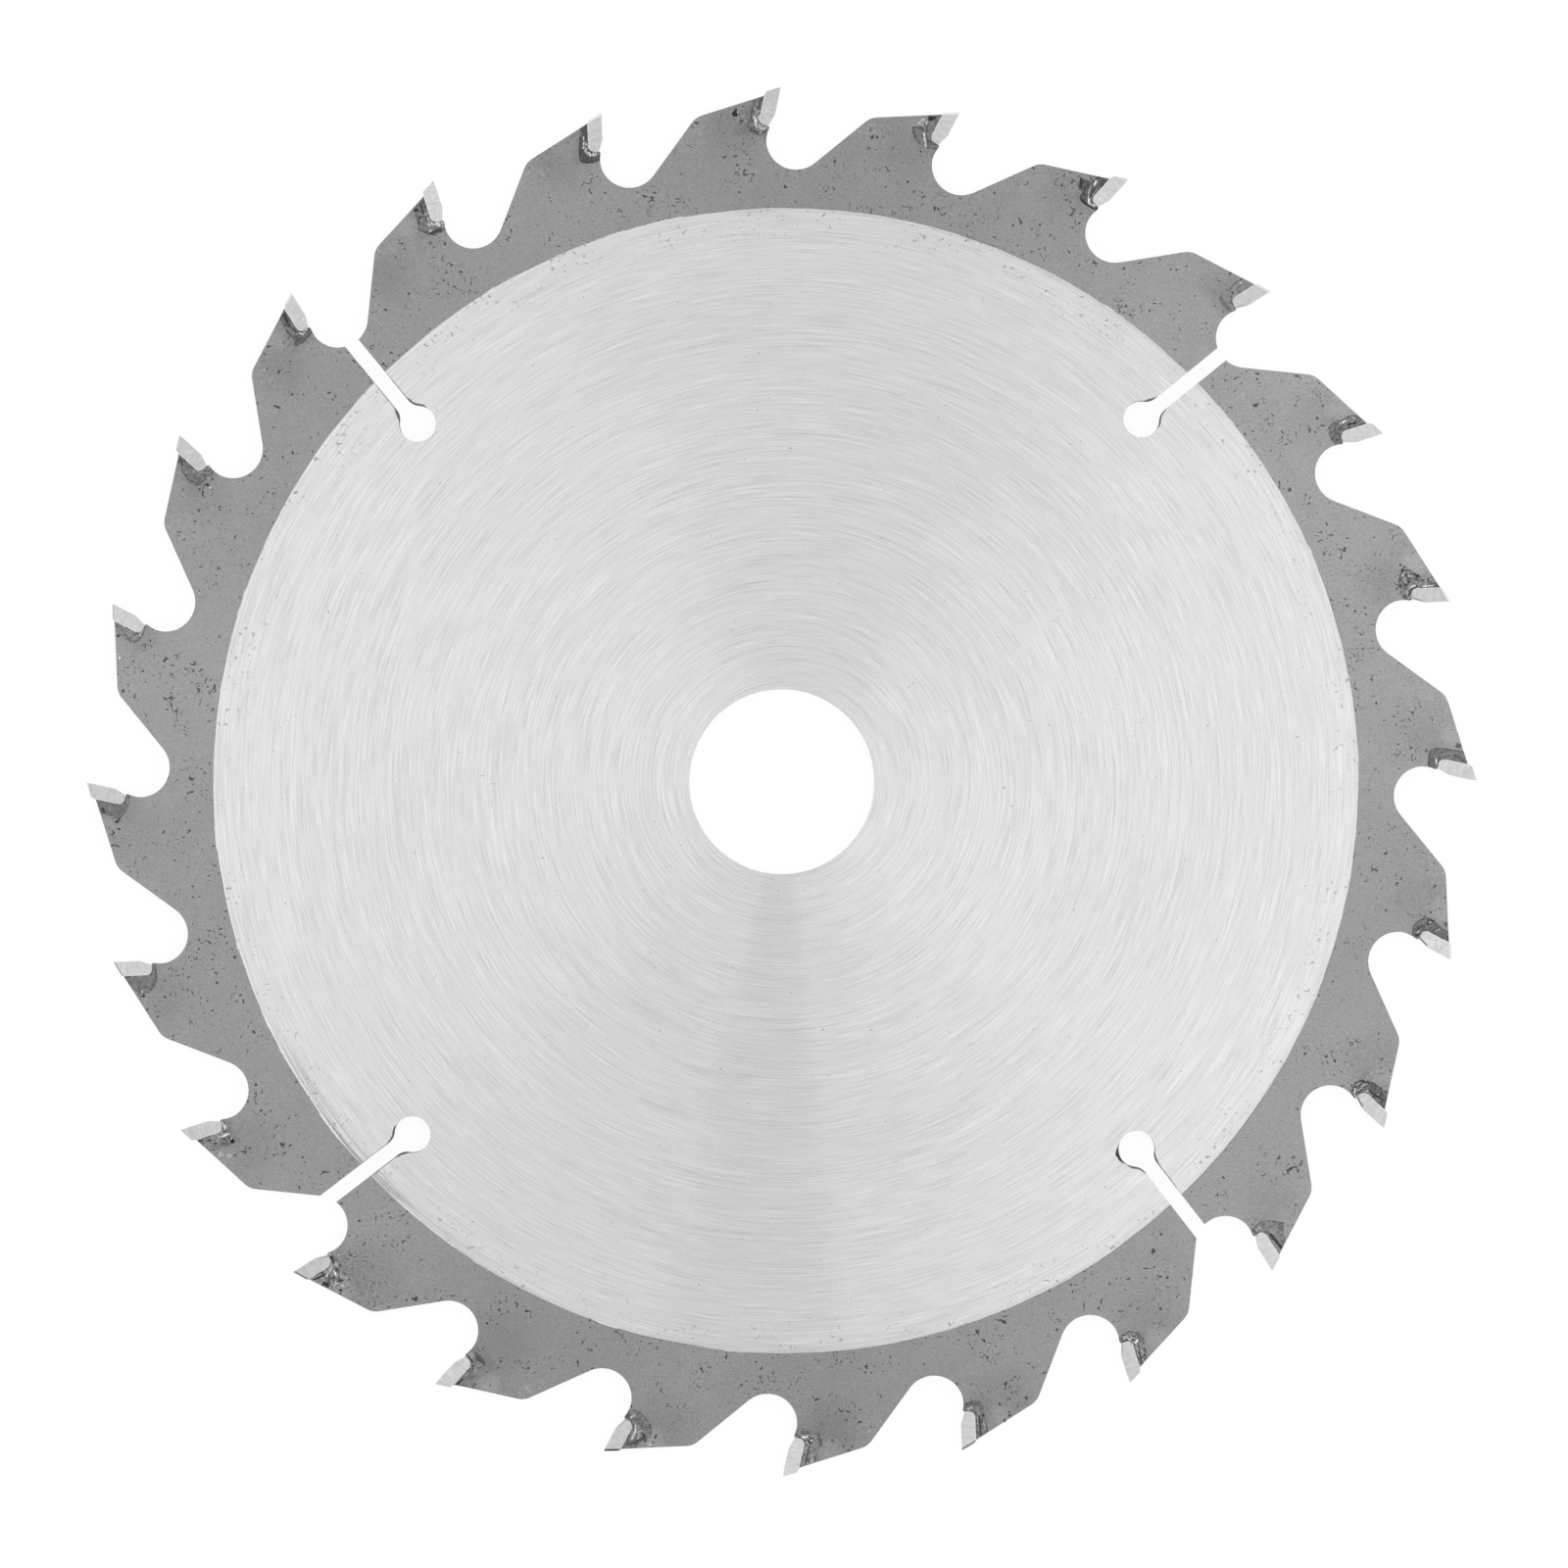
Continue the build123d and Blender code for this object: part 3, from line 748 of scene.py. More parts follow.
def disc_tone(nodes, place, disc, fine):
    """Circular brushing with a darker sector, a few specks, and marks near the edge."""
    tone = DISC_TONE + nodes.swing(fine, 0.27)
    tone = tone + nodes.swing(nodes.noise(disc.brushed(0.06, 1.6)), 0.014)
    tone = tone + nodes.swing(nodes.noise(disc.along_arcs(1.2, 0.12)), 0.02)
    tone = tone + nodes.swing(nodes.noise(place, 4.2, 0.0), 0.03)
    tone = tone + nodes.swing(nodes.noise(place, 0.035, 3.0, 0.6), 0.012)
    sector = nodes.rise(disc.towards(-0.070, -0.998), 0.978, 0.9985)
    tone = tone * (1.0 - sector * 0.055)
    specks = nodes.rise(nodes.noise(place, 1.9, 1.0), 0.79, 0.82)
    near_edge = nodes.rise(disc.radius, GROUND_RADIUS - 6.0, GROUND_RADIUS - 1.0)
    edge_marks = curved_pits(nodes, place, 1.1, 0.05, 0.48) * near_edge
    return tone * (1.0 - nodes.higher(specks * 0.5, edge_marks * 0.45))


def rim_pits(nodes, place):
    """Curved pits of two sizes, and round dots."""
    large = curved_pits(nodes, place, 1.05, 0.050, 0.55)
    small = curved_pits(nodes, place + ELSEWHERE["small_pits"], 0.80, 0.055, 0.55)
    dots = nodes.rise(nodes.noise(place + ELSEWHERE["dots"], 1.5, 0.0), 0.825, 0.865)
    return nodes.higher(nodes.higher(large, small), dots)


def rim_tone(nodes, place, grain, pits):
    """Blasted steel with pits, light flecks, and long scratches that break off and go on."""
    tone = RIM_TONE + nodes.swing(grain, 0.17)
    tone = tone + nodes.swing(nodes.noise(place, 0.11, 3.0, 0.55), 0.022)
    tone = tone * (1.0 - pits * 0.72)
    flecks = nodes.rise(nodes.noise(place + ELSEWHERE["flecks"], 1.6, 2.0, 0.6), 0.75, 0.80)
    tone = nodes.mix(flecks * 0.75, tone, 0.62)
    lines = nodes.noise(place + ELSEWHERE["scratches"], 0.16, 1.0, 0.4, 0.4)
    scratches = nodes.fall(abs(lines - 0.5), 0.0, 0.003)
    parts = nodes.rise(nodes.noise(place + ELSEWHERE["scratched_parts"], 0.12, 1.0), 0.60, 0.66)
    breaks = nodes.rise(nodes.noise(place, 2.2, 1.0), 0.42, 0.55)
    return nodes.mix(scratches * parts * breaks * 0.6, tone, 0.58)


def heated_and_shaded_tone(nodes, place, tooth, warp, tone):
    """The rim's tone with heat's stains and spatter round a joint, and painted light and shade."""
    behind = TIP_BACK - tooth.rake_x
    below = TIP_FOOT - tooth.rake_y
    beyond_bead = nodes.higher(behind, below * 1.35) + warp - 1.0
    stains = [(look["stain"][0] / REACH_RANGE, look["stain"][1], look["lumps"]) for look in JOINTS]
    reach, strength, spotty = tooth.pick(stains)
    fading = nodes.fall(beyond_bead / (reach * REACH_RANGE), 0.1, 1.0)
    high = nodes.rise(tooth.rake_y, -9.5, -6.5)
    blotch = nodes.rise(nodes.noise(place, 1.6, 3.0, 0.7), 0.52, 0.66) * spotty
    stain = fading * strength * high * (0.9 + blotch * 0.8)

    # A wide soft cloud with soot in it
    clouds = []
    for look in JOINTS:
        back, down, radius, _ = look["cloud"]
        clouds.append((back / PLACE_RANGE, down / PLACE_RANGE, radius / REACH_RANGE))
    back, down, cloud_radius = tooth.pick(clouds)
    from_cloud = nodes.length(tooth.x + back * PLACE_RANGE, tooth.y + down * PLACE_RANGE)
    in_cloud = nodes.fall((from_cloud + warp * 1.2) / (cloud_radius * REACH_RANGE), 0.1, 1.0)
    darkness, pale, _ = tooth.pick([(look["cloud"][3], look["pale"], 0.0) for look in JOINTS])
    soot = nodes.rise(nodes.noise(place + ELSEWHERE["soot"], 3.2, 3.0, 0.7), 0.54, 0.68)
    soot = soot * in_cloud * nodes.rise(spotty, 0.55, 1.0)
    stain = stain + in_cloud * darkness + soot * 0.4

    # Paler steel at the back of the tooth
    at_back = nodes.fall(tooth.away(-6.4, -3.6) + warp, 0.6, 2.2)
    stain = nodes.lower(stain - at_back * (pale * 1.3), 0.85)
    tone = tone * (1.0 - stain)

    # Painted light and shade round the rim, one smooth factor per tooth, and spatter near the bead
    painted_shades = [look["shade"] / SHADE_RANGE for look in JOINTS]
    shade = nodes.choice(round_share(nodes, place), painted_shades + painted_shades[:1], smooth=True)
    tone = tone * (shade * SHADE_RANGE)
    spatter = nodes.rise(nodes.noise(place + ELSEWHERE["spatter"], 2.4, 1.0), 0.68, 0.72)
    spatter = spatter * fading * spotty
    return nodes.mix(spatter * (high * 0.8), tone, 0.6)


def rubbed_tone(nodes, place, tooth, warp, tone):
    """Light scuffs at the shoulders, and fine dark speckle between them and the beads."""
    scuffs = nodes.rise(nodes.noise(place, 1.3, 4.0, 0.8), 0.52, 0.66)
    some = nodes.rise(nodes.noise(place + ELSEWHERE["scuffs"], 0.11, 1.0), 0.42, 0.60)
    near_shoulder = nodes.fall(tooth.away(-11.6, -5.2), 0.8, 4.2)
    tone = nodes.mix(near_shoulder * scuffs * some * 0.5, tone, 0.55)
    speckle = nodes.rise(nodes.noise(place + ELSEWHERE["speckle"], 2.6, 3.0, 0.7), 0.50, 0.70)
    near_back = nodes.fall(tooth.away(-8.6, -4.2) + warp, 0.8, 3.4)
    return tone * (1.0 - speckle * near_back * 0.26)


def face_tone(nodes, disc, rim, ground):
    """Disc and rim joined at the disc's edge, and how far a place belongs to the disc.

    The edge is a little off centre, darker just inside, and runs out in the lower left.
    """
    waver = nodes.swing(nodes.noise(disc.along_arcs(20.0, 0.0)), 0.10)
    edge = disc.radius - (GROUND_RADIUS + disc.towards(-0.12, 0.15)) + waver
    run_out = nodes.rise(disc.towards(-0.74, -0.67), 0.95, 0.995)
    ridges = nodes.rise(nodes.noise(disc.brushed(0.06, 3.2), 1.0, 1.0), 0.40, 0.60)
    shallow = nodes.rise(edge, -2.6, -0.2) * ridges * (run_out * 0.8)
    on_disc = nodes.fall(edge, -0.05, 0.04)
    tone = nodes.mix(on_disc - on_disc * shallow, rim, ground)
    inside = nodes.rise(edge, -0.9, -0.05) * on_disc
    tone = tone * (1.0 - inside * 0.06)

    # The edge itself, with painted shade in places and painted highlights in others
    at_edge = nodes.fall(abs(edge - 0.03), 0.03, 0.13)
    variation = nodes.noise(disc.along_arcs(7.0, 0.0), 1.0, 3.0, 0.7)
    tone = nodes.mix(at_edge * nodes.rise(variation, 0.46, 0.60, 0.0, 0.45), tone, 0.16)
    tone = nodes.mix(at_edge * nodes.fall(variation, 0.36, 0.42, 0.7), tone, 0.85)
    return tone, on_disc


def wall_tone(nodes, place):
    """Walls: dull and dark in the slots, ground in the bore, cut across in the gullets."""
    x, y, z = nodes.split(place)
    from_centre = nodes.length(x, y)
    beyond_slots = nodes.rise(from_centre, 77.0, 79.0)
    in_bore = nodes.fall(from_centre, BORE_RADIUS + 0.5, BORE_RADIUS + 1.5)
    strokes = nodes.noise(nodes.join(x * 3.0, y * 3.0, z))
    tone = nodes.mix(beyond_slots, SLOT_WALL_TONE, GULLET_WALL_TONE)
    tone = nodes.mix(in_bore, tone, BORE_WALL_TONE)
    return tone * (1.0 + nodes.swing(strokes, 0.5))


def plate_finish():
    """Ground disc with circular brushing, blasted and pitted rim, dull cut walls."""
    nodes = Nodes("plate_steel_finish")
    place = nodes.millimetres()
    disc = Disc(nodes, place)
    tooth = Tooth(nodes, place)
    fine = nodes.noise(disc.brushed(0.14, 12.0), 1.0, 2.0, 0.7)
    grain = nodes.noise(place, 5.5, 1.0, 0.9)
    pits = rim_pits(nodes, place)
    warp = nodes.swing(nodes.noise(place, 0.9, 3.0, 0.65), 1.3)
    rim = rim_tone(nodes, place, grain, pits)
    rim = heated_and_shaded_tone(nodes, place, tooth, warp, rim)
    rim = rubbed_tone(nodes, place, tooth, warp, rim)
    tone, on_disc = face_tone(nodes, disc, rim, disc_tone(nodes, place, disc, fine))
    tone = nodes.mix(slot_dark_slivers(nodes, place), tone, SLIVER_TONE)
    on_wall = nodes.fall(abs(nodes.up()), 0.5, 0.7)
    tone = nodes.mix(on_wall, tone, wall_tone(nodes, place))

    # Gloss and relief
    disc_gloss = 0.36 + nodes.swing(fine, 0.10)
    rim_gloss = 0.58 + nodes.swing(grain, 0.10)
    gloss = nodes.mix(on_wall, nodes.mix(on_disc, rim_gloss, disc_gloss), 0.5)
    relief = nodes.mix(on_disc, grain * 0.8 - pits * 2.0, fine * 0.5)
    brushing = {
        "Specular Tint": (0.72, 0.72, 0.72, 1.0),
        "Anisotropic": 0.75,
        "Anisotropic Rotation": 0.25,
        "Tangent": nodes.value("ShaderNodeTangent", direction_type="RADIAL", axis="Z"),
    }
    return nodes.metal(tone, gloss, relief, 0.35, 0.02, brushing)


# Top bevels of the tips, for two teeth each: the tone of a painted reflection, and the far and
# the near end of a band of painted dark reflection, from 0 at its far side to 1 at its near side
LIGHT_BEVEL_REFLECTION = (0.86, 0.0, 0.0)
BEVEL_REFLECTIONS = (
    LIGHT_BEVEL_REFLECTION, LIGHT_BEVEL_REFLECTION, LIGHT_BEVEL_REFLECTION, (0.80, 0.0, 0.0), (0.74, 0.86, 1.0), (0.18, 0.62, 0.88),
    (0.15, 0.30, 0.98), (0.62, 0.54, 1.0), (0.74, 0.52, 0.80), (0.72, 0.46, 0.66), LIGHT_BEVEL_REFLECTION, LIGHT_BEVEL_REFLECTION,
)

# The lower front of a tip as a line in the rake axes: a share of x, a share of y, their sum
LOWER_FRONT = (0.9485, -0.3172, 1.148)

# Teeth with a dark line along that front, and how dark it is
DARK_FRONTS = {3: 0.3, 5: 0.6, 7: 0.9, 8: 0.9, 10: 0.3, 13: 0.3, 15: 0.4}

# How far alloy has crept over the lower corner of the carbide
CREPT_REACH = 0.95


def carbide_edges(nodes, tooth, tone):
    """A painted highlight along the back edge, and a thin dark line along some lower fronts."""
    # Painted highlight: a lighter line where the back edge would catch the light
    back_edge_highlight = nodes.fall(tooth.rake_x - TIP_BACK, 0.05, 0.20, 0.35)
    tone = nodes.mix(back_edge_highlight, tone, 0.78)
    share_x, share_y, total = LOWER_FRONT
    front_gap = total - (tooth.rake_x * share_x + tooth.rake_y * share_y)
    darkness = tooth.pick([DARK_FRONTS.get(number, 0.0) for number in range(TEETH)])
    front_line = nodes.fall(front_gap, 0.05, 0.17) * darkness
    return nodes.mix(front_line * nodes.rise(tooth.rake_y, -3.9, -4.3), tone, 0.07)


def crept_alloy(nodes, place, tooth, tone):
    """Alloy over the lower corner of the carbide."""
    corner_x = nodes.lower(tooth.rake_x - (TIP_BACK + CREPT_REACH), 0.0)
    corner_y = nodes.lower(tooth.rake_y - (TIP_FOOT + CREPT_REACH), 0.0)
    ragged = nodes.swing(nodes.noise(place, 2.3, 2.0, 0.6), 0.18)
    from_corner = nodes.length(corner_x, corner_y) + ragged
    crept = nodes.rise(from_corner, CREPT_REACH - 0.03, CREPT_REACH + 0.05)
    return nodes.mix(crept * 0.9, tone, tooth.pick([look["tone"] * 0.8 for look in JOINTS]))


def bevel_reflection_tone(nodes, tooth, mottle, tone):
    """The tone with the painted reflections on the bevels, and how far a place is in a dark band."""
    up = nodes.up()
    on_bevel = nodes.rise(abs(up), 0.12, 0.18) * nodes.fall(abs(up), 0.5, 0.6)
    bevel, band_low, band_high = tooth.pick([BEVEL_REFLECTIONS[number // 2] for number in range(TEETH)])
    across = tooth.rake_z * nodes.math("SIGN", up) / (2 * TIP_HALF) + 0.5
    in_band = nodes.rise(across - band_low, -0.02, 0.02) * nodes.fall(across - band_high, -0.02, 0.02)
    bevel = nodes.mix(in_band * 0.95, bevel, 0.10) * (1.0 + nodes.swing(mottle, 0.15))
    return nodes.mix(on_bevel, tone, bevel), on_bevel * in_band


def carbide_finish():
    """Finely ground carbide with grinding lines along its sides, a painted edge highlight and painted bevel
    reflections.
    """
    nodes = Nodes("carbide_finish")
    place = nodes.millimetres()
    tooth = Tooth(nodes, place)
    depth = tooth.rake_z + tooth.share * TIPS_APART
    lines = nodes.noise(nodes.join(tooth.rake_x * 0.7, tooth.rake_y * 6.0, depth), 1.0, 2.0, 0.6)
    mottle = nodes.noise(place + ELSEWHERE["mottle"], 1.2, 3.0, 0.6)
    grain = nodes.noise(place, 7.0, 1.0, 0.6)
    tone = CARBIDE_TONE + nodes.swing(lines, 0.16)
    tone = tone + nodes.swing(mottle, 0.07) + nodes.swing(grain, 0.08)
    tone = tone * tooth.pick([0.94 + 0.12 * ((7 * number) % 5) / 4 for number in range(TEETH)])
    tone = carbide_edges(nodes, tooth, tone)
    tone = crept_alloy(nodes, place, tooth, tone)
    tone, in_dark_reflection = bevel_reflection_tone(nodes, tooth, mottle, tone)
    gloss = 0.36 + nodes.swing(lines, 0.12)
    # The specular tint is lowered in the band too, to paint its dark reflection
    dark_reflection_tint = nodes.mix(in_dark_reflection, 0.9, 0.1)
    return nodes.metal(tone, gloss, lines, 0.25, 0.01, {"Specular Tint": dark_reflection_tint})


def braze_finish():
    """Oxidised brazing alloy. The mesh carries its tone and its roughness at each point."""
    nodes = Nodes("braze_finish")
    place = nodes.millimetres()
    skin = nodes.value("ShaderNodeAttribute", output="Color", attribute_name="skin")
    parts = nodes.add("ShaderNodeSeparateColor", {0: skin}).outputs
    grain = nodes.noise(place, 6.5, 3.0, 0.8)
    tone = Value(nodes, parts[0]) * (1.0 + nodes.swing(grain, 1.2))
    return nodes.metal(tone, Value(nodes, parts[1]), grain, 0.4, 0.03)


# Brazed joints

BACK_STEPS = 58
CORNER_STEPS = 16
FOOT_STEPS = 24
ALONG_STEPS = BACK_STEPS + CORNER_STEPS + FOOT_STEPS
WIDTH_STEPS = 26

# Thinnest and thickest that a bead may be, and how its lumps lift it
BEAD_THINNEST = 0.004
BEAD_THICKEST = 0.19
LUMP_LIFT = 0.35

# Tones and roughness of the alloy's skin
GLINT_TONE = 0.45
SPARK_TONE = 0.75
ALLOY_GLOSS = 0.42
BRIGHT_GLOSS = 0.24
DARK_GLOSS = 0.45
SEAT_SHARE = 0.6

# Drops: how many rings and sides they have, how high they stand, and the tone that light
# ones melt into at their foot
DROP_RINGS = 5
DROP_SIDES = 20
DROP_HEIGHT = 0.02
DROP_RISE = 0.06
DROP_FOOT_TONE = 0.31

# How far apart the seeds of the noises are, from tooth to tooth, face to face, drop to drop
TOOTH_SEED = 13.7
BACK_SEED = 271.3
DROP_SEED = 3.1


def clamp(value, low=0.0, high=1.0):
    return max(low, min(high, value))


def rise(value, low, high):
    """A smooth rise from 0 to 1 while value goes from low to high."""
    share = clamp((value - low) / (high - low))
    return share * share * (3 - 2 * share)


def lumpiness(x, y, z):
    return noise.noise(Vector((x, y, z)))


def upright(point):
    """A rake place as a place on the upright tooth, from its tip corner."""
    x = point[0] * math.cos(HOOK) + point[1] * math.sin(HOOK)
    y = point[1] * math.cos(HOOK) - point[0] * math.sin(HOOK)
    return Vector((x, y))


def front_limit(out):
    """How far ahead the tooth reaches at a distance below the carbide's foot."""
    below = TIP_FOOT - out - GULLET_CENTRE[1]
    arc = GULLET_CENTRE[0] - math.sqrt(GULLET_RADIUS**2 - below**2)
    toe = TIP_FOOT_FRONT + TOE_SLOPE * out
    return min(arc, toe)


def joint_point(along, out):
    """Rake place at a step along the carbide's outline and a distance out from it."""
    corner_x = TIP_BACK + TIP_CORNER
    corner_y = TIP_FOOT + TIP_CORNER
    if along <= BACK_STEPS:
        top = JOINT_TOP - JOINT_TOP_FALL * out
        return TIP_BACK - out, top + (corner_y - top) * along / BACK_STEPS
    if along <= BACK_STEPS + CORNER_STEPS:
        turn = math.pi / 2 * (along - BACK_STEPS) / CORNER_STEPS
        reach = TIP_CORNER + out
        return corner_x - reach * math.cos(turn), corner_y - reach * math.sin(turn)
    share = (along - BACK_STEPS - CORNER_STEPS) / FOOT_STEPS
    return corner_x + (front_limit(out) - corner_x) * share, TIP_FOOT - out


def behind_tip(back, down):
    """A place on the upright tooth, from how far back and down it lies."""
    return Vector((-back, -down))


def back_height(x):
    """How high the back of the upright tooth is."""
    return BACK_DROP_Y + BACK_FALL * x


def gullet_edge(y):
    """Where the gullet's arc passes a height on the upright tooth."""
    centre = upright(GULLET_CENTRE)
    return centre.x - math.sqrt(GULLET_RADIUS**2 - (y - centre.y) ** 2)


def smooth_line(points, count):
    """Evenly spaced places on a smooth curve through some points."""
    pieces = 16
    padded = [2 * points[0] - points[1], *points, 2 * points[-1] - points[-2]]
    fine = []
    for before, first, second, after in zip(padded, padded[1:], padded[2:], padded[3:]):
        for step in range(pieces):
            t = step / pieces
            bend = (2 * before - 5 * first + 4 * second - after) * t * t
            twist = (3 * first - before - 3 * second + after) * t**3
            fine.append((2 * first + (second - before) * t + bend + twist) / 2)
    fine.append(points[-1])
    reach = [0.0]
    for first, second in zip(fine, fine[1:]):
        reach.append(reach[-1] + (second - first).length)
    places = []
    segment = 0
    for step in range(count + 1):
        wanted = reach[-1] * step / count
        while segment < len(fine) - 2 and reach[segment + 1] < wanted:
            segment += 1
        share = (wanted - reach[segment]) / (reach[segment + 1] - reach[segment])
        places.append(fine[segment].lerp(fine[segment + 1], clamp(share)))
    return places


def outer_edge(look, seed):
    """The outer edge of the bead on the upright tooth, a little ragged."""
    top = -look["top"]
    foot = -look["foot"]
    points = [Vector((top, back_height(top)))]
    points += [behind_tip(*place) for place in look["edge"]]
    points += [Vector((gullet_edge(foot), foot))]
    places = smooth_line(points, ALONG_STEPS)
    ragged = 0.05 + 0.16 * look["lumps"]
    middle = upright((TIP_BACK, TIP_FOOT / 2))
    for step in range(1, ALONG_STEPS):
        outward = (places[step] - middle).normalized()
        waver = lumpiness(step * 0.14, seed, 0.0) + 0.6 * lumpiness(step * 0.45, seed, 4.0)
        ends = rise(step, 0, 8) * rise(step, ALONG_STEPS, ALONG_STEPS - 8)
        places[step] = places[step] + outward * waver * ragged * ends
    return places


def line_share(place, line, wobble):
    """How much a strand covers a place, from 0 to 1."""
    start = behind_tip(*line[0:2])
    run = behind_tip(*line[2:4]) - start
    share = clamp((place - start).dot(run) / max(run.length_squared, 1e-6))
    away = (place - start - run * share).length + wobble
    half = line[4] / 2
    return rise(away, half + 0.06, half - 0.04)


def bare_skin(place, spot, out, share, look):
    """Tone, roughness and rise of the bead's skin before its strands, and its speckle."""
    rough = look["lumps"]
    lumps = noise.noise(spot * 1.9) * 0.55 + noise.noise(spot * 4.4) * 0.45
    speckle = noise.noise(spot * 7.5 + Vector((0, 0, 50.0)))
    tone = look["tone"] * (1 + 0.35 * lumps + rough * (0.9 * lumps + 0.7 * speckle))

    # Dark crust in the hollows and a thin dark outer edge
    crust = rise(-lumps, 0.15, 0.45) * rough
    rim = rise(share, 0.84, 0.95) * rise(share, 1.04, 0.98) * rise(noise.noise(spot * 2.6), -0.35, 0.25)
    tone *= 1 - 0.6 * max(crust, 0.6 * rim)

    # Stray glints, and bright flakes near the carbide, low on the tooth
    glint = rise(speckle + 0.5 * lumps, 0.62 - 0.18 * rough, 0.72 - 0.16 * rough) * rough
    tone += (GLINT_TONE - tone) * glint * 0.8
    spark = noise.noise(spot * 5.6 + Vector((0, 0, 81.0))) + 0.5 * noise.noise(spot * 12.0)
    spark = rise(spark, 0.20, 0.36) * rise(out, 0.95, 0.30) * rise(-place.y, 2.6, 4.2)
    spark *= look.get("sparks", 0.0)
    tone += (SPARK_TONE - tone) * spark
    return tone, ALLOY_GLOSS + 0.12 * lumps, lumps * (0.2 + rough), speckle


def bead_skin(place, out, share, look, seed):
    """Tone, roughness and rise of the bead's skin at a place on the upright tooth."""
    spot = Vector((place.x, place.y, seed))
    tone, gloss, lift, speckle = bare_skin(place, spot, out, share, look)
    wobble = 0.05 * noise.noise(spot * 5.0) + 0.045 * noise.noise(spot * 11.0)
    gaps = noise.noise(spot * 2.3 + Vector((9.0, 0.0, 0.0))) + 0.9 * noise.noise(spot * 8.7)
    for line in look["lines"]:
        strand = line[5]
        cover = line_share(place, line, wobble)
        if strand > GREY:
            cover *= 0.35 + 0.65 * rise(gaps, -0.35, 0.10)
        if cover > 0:
            tone += (strand * (1 + 0.35 * speckle) - tone) * cover
            lift += cover * (0.5 if strand > look["tone"] else -0.5)
            gloss += ((BRIGHT_GLOSS if strand > GREY else DARK_GLOSS) - gloss) * cover
    return clamp(tone, 0.01, 0.92), clamp(gloss, 0.18, 0.7), lift


def bead_rows(look, seed):
    """Height field of the bead on one face: place, height, tone and roughness."""
    edge = outer_edge(look, seed)
    rows = []
    for along in range(ALONG_STEPS + 1):
        inner = upright(joint_point(along, 0.0))
        width = (edge[along] - inner).length
        to_front = max(0.0, (along - BACK_STEPS - CORNER_STEPS) / FOOT_STEPS) ** 2
        row = []
        for across in range(WIDTH_STEPS + 1):
            share = across / WIDTH_STEPS
            out = width * share
            place = inner.lerp(edge[along], share)
            if to_front > 0 and 0 < share < 1:
                front = min(gullet_edge(place.y), inner.x + TOE_SLOPE * width * share)
                place.x += (front - place.x) * to_front
            tone, gloss, lift = bead_skin(place, out, share, look, seed)
            height = BEAD_LOW + (BEAD_HEIGHT - BEAD_LOW) * rise(out, BEAD_OUTER, BEAD_INNER)
            height *= 1 + LUMP_LIFT * lift
            height *= 0.1 + 0.9 * rise(share, 1.0, 0.92)
            row.append((place, clamp(height, BEAD_THINNEST, BEAD_THICKEST), tone, gloss))
        rows.append(row)
    return rows


def film_rows():
    """The inner and the outer line of the film in the seat, on the upright tooth."""
    rows = []
    corner = (TIP_BACK - FILM, TIP_FOOT - FILM)
    middle = BACK_STEPS + CORNER_STEPS / 2
    for along in range(ALONG_STEPS + 1):
        inner = joint_point(along, 0.0)
        outer = joint_point(along, FILM)
        if BACK_STEPS < along <= middle:
            share = (along - BACK_STEPS) / (CORNER_STEPS / 2)
            outer = (corner[0], joint_point(BACK_STEPS, FILM)[1] * (1 - share) + corner[1] * share)
        elif middle < along <= BACK_STEPS + CORNER_STEPS:
            share = (along - middle) / (CORNER_STEPS / 2)
            outer = (corner[0] * (1 - share) + (TIP_BACK + TIP_CORNER) * share, corner[1])
        rows.append((upright(inner), upright(outer)))
    return rows


def on_blade(place, height, number):
    """A place on the upright tooth at a height above mid-plate, on its tooth, in metres."""
    x = place[0]
    y = TIP_RADIUS + place[1]
    turn = -number * PITCH
    return (
        (x * math.cos(turn) - y * math.sin(turn)) * MM,
        (x * math.sin(turn) + y * math.cos(turn)) * MM,
        height * MM,
    )


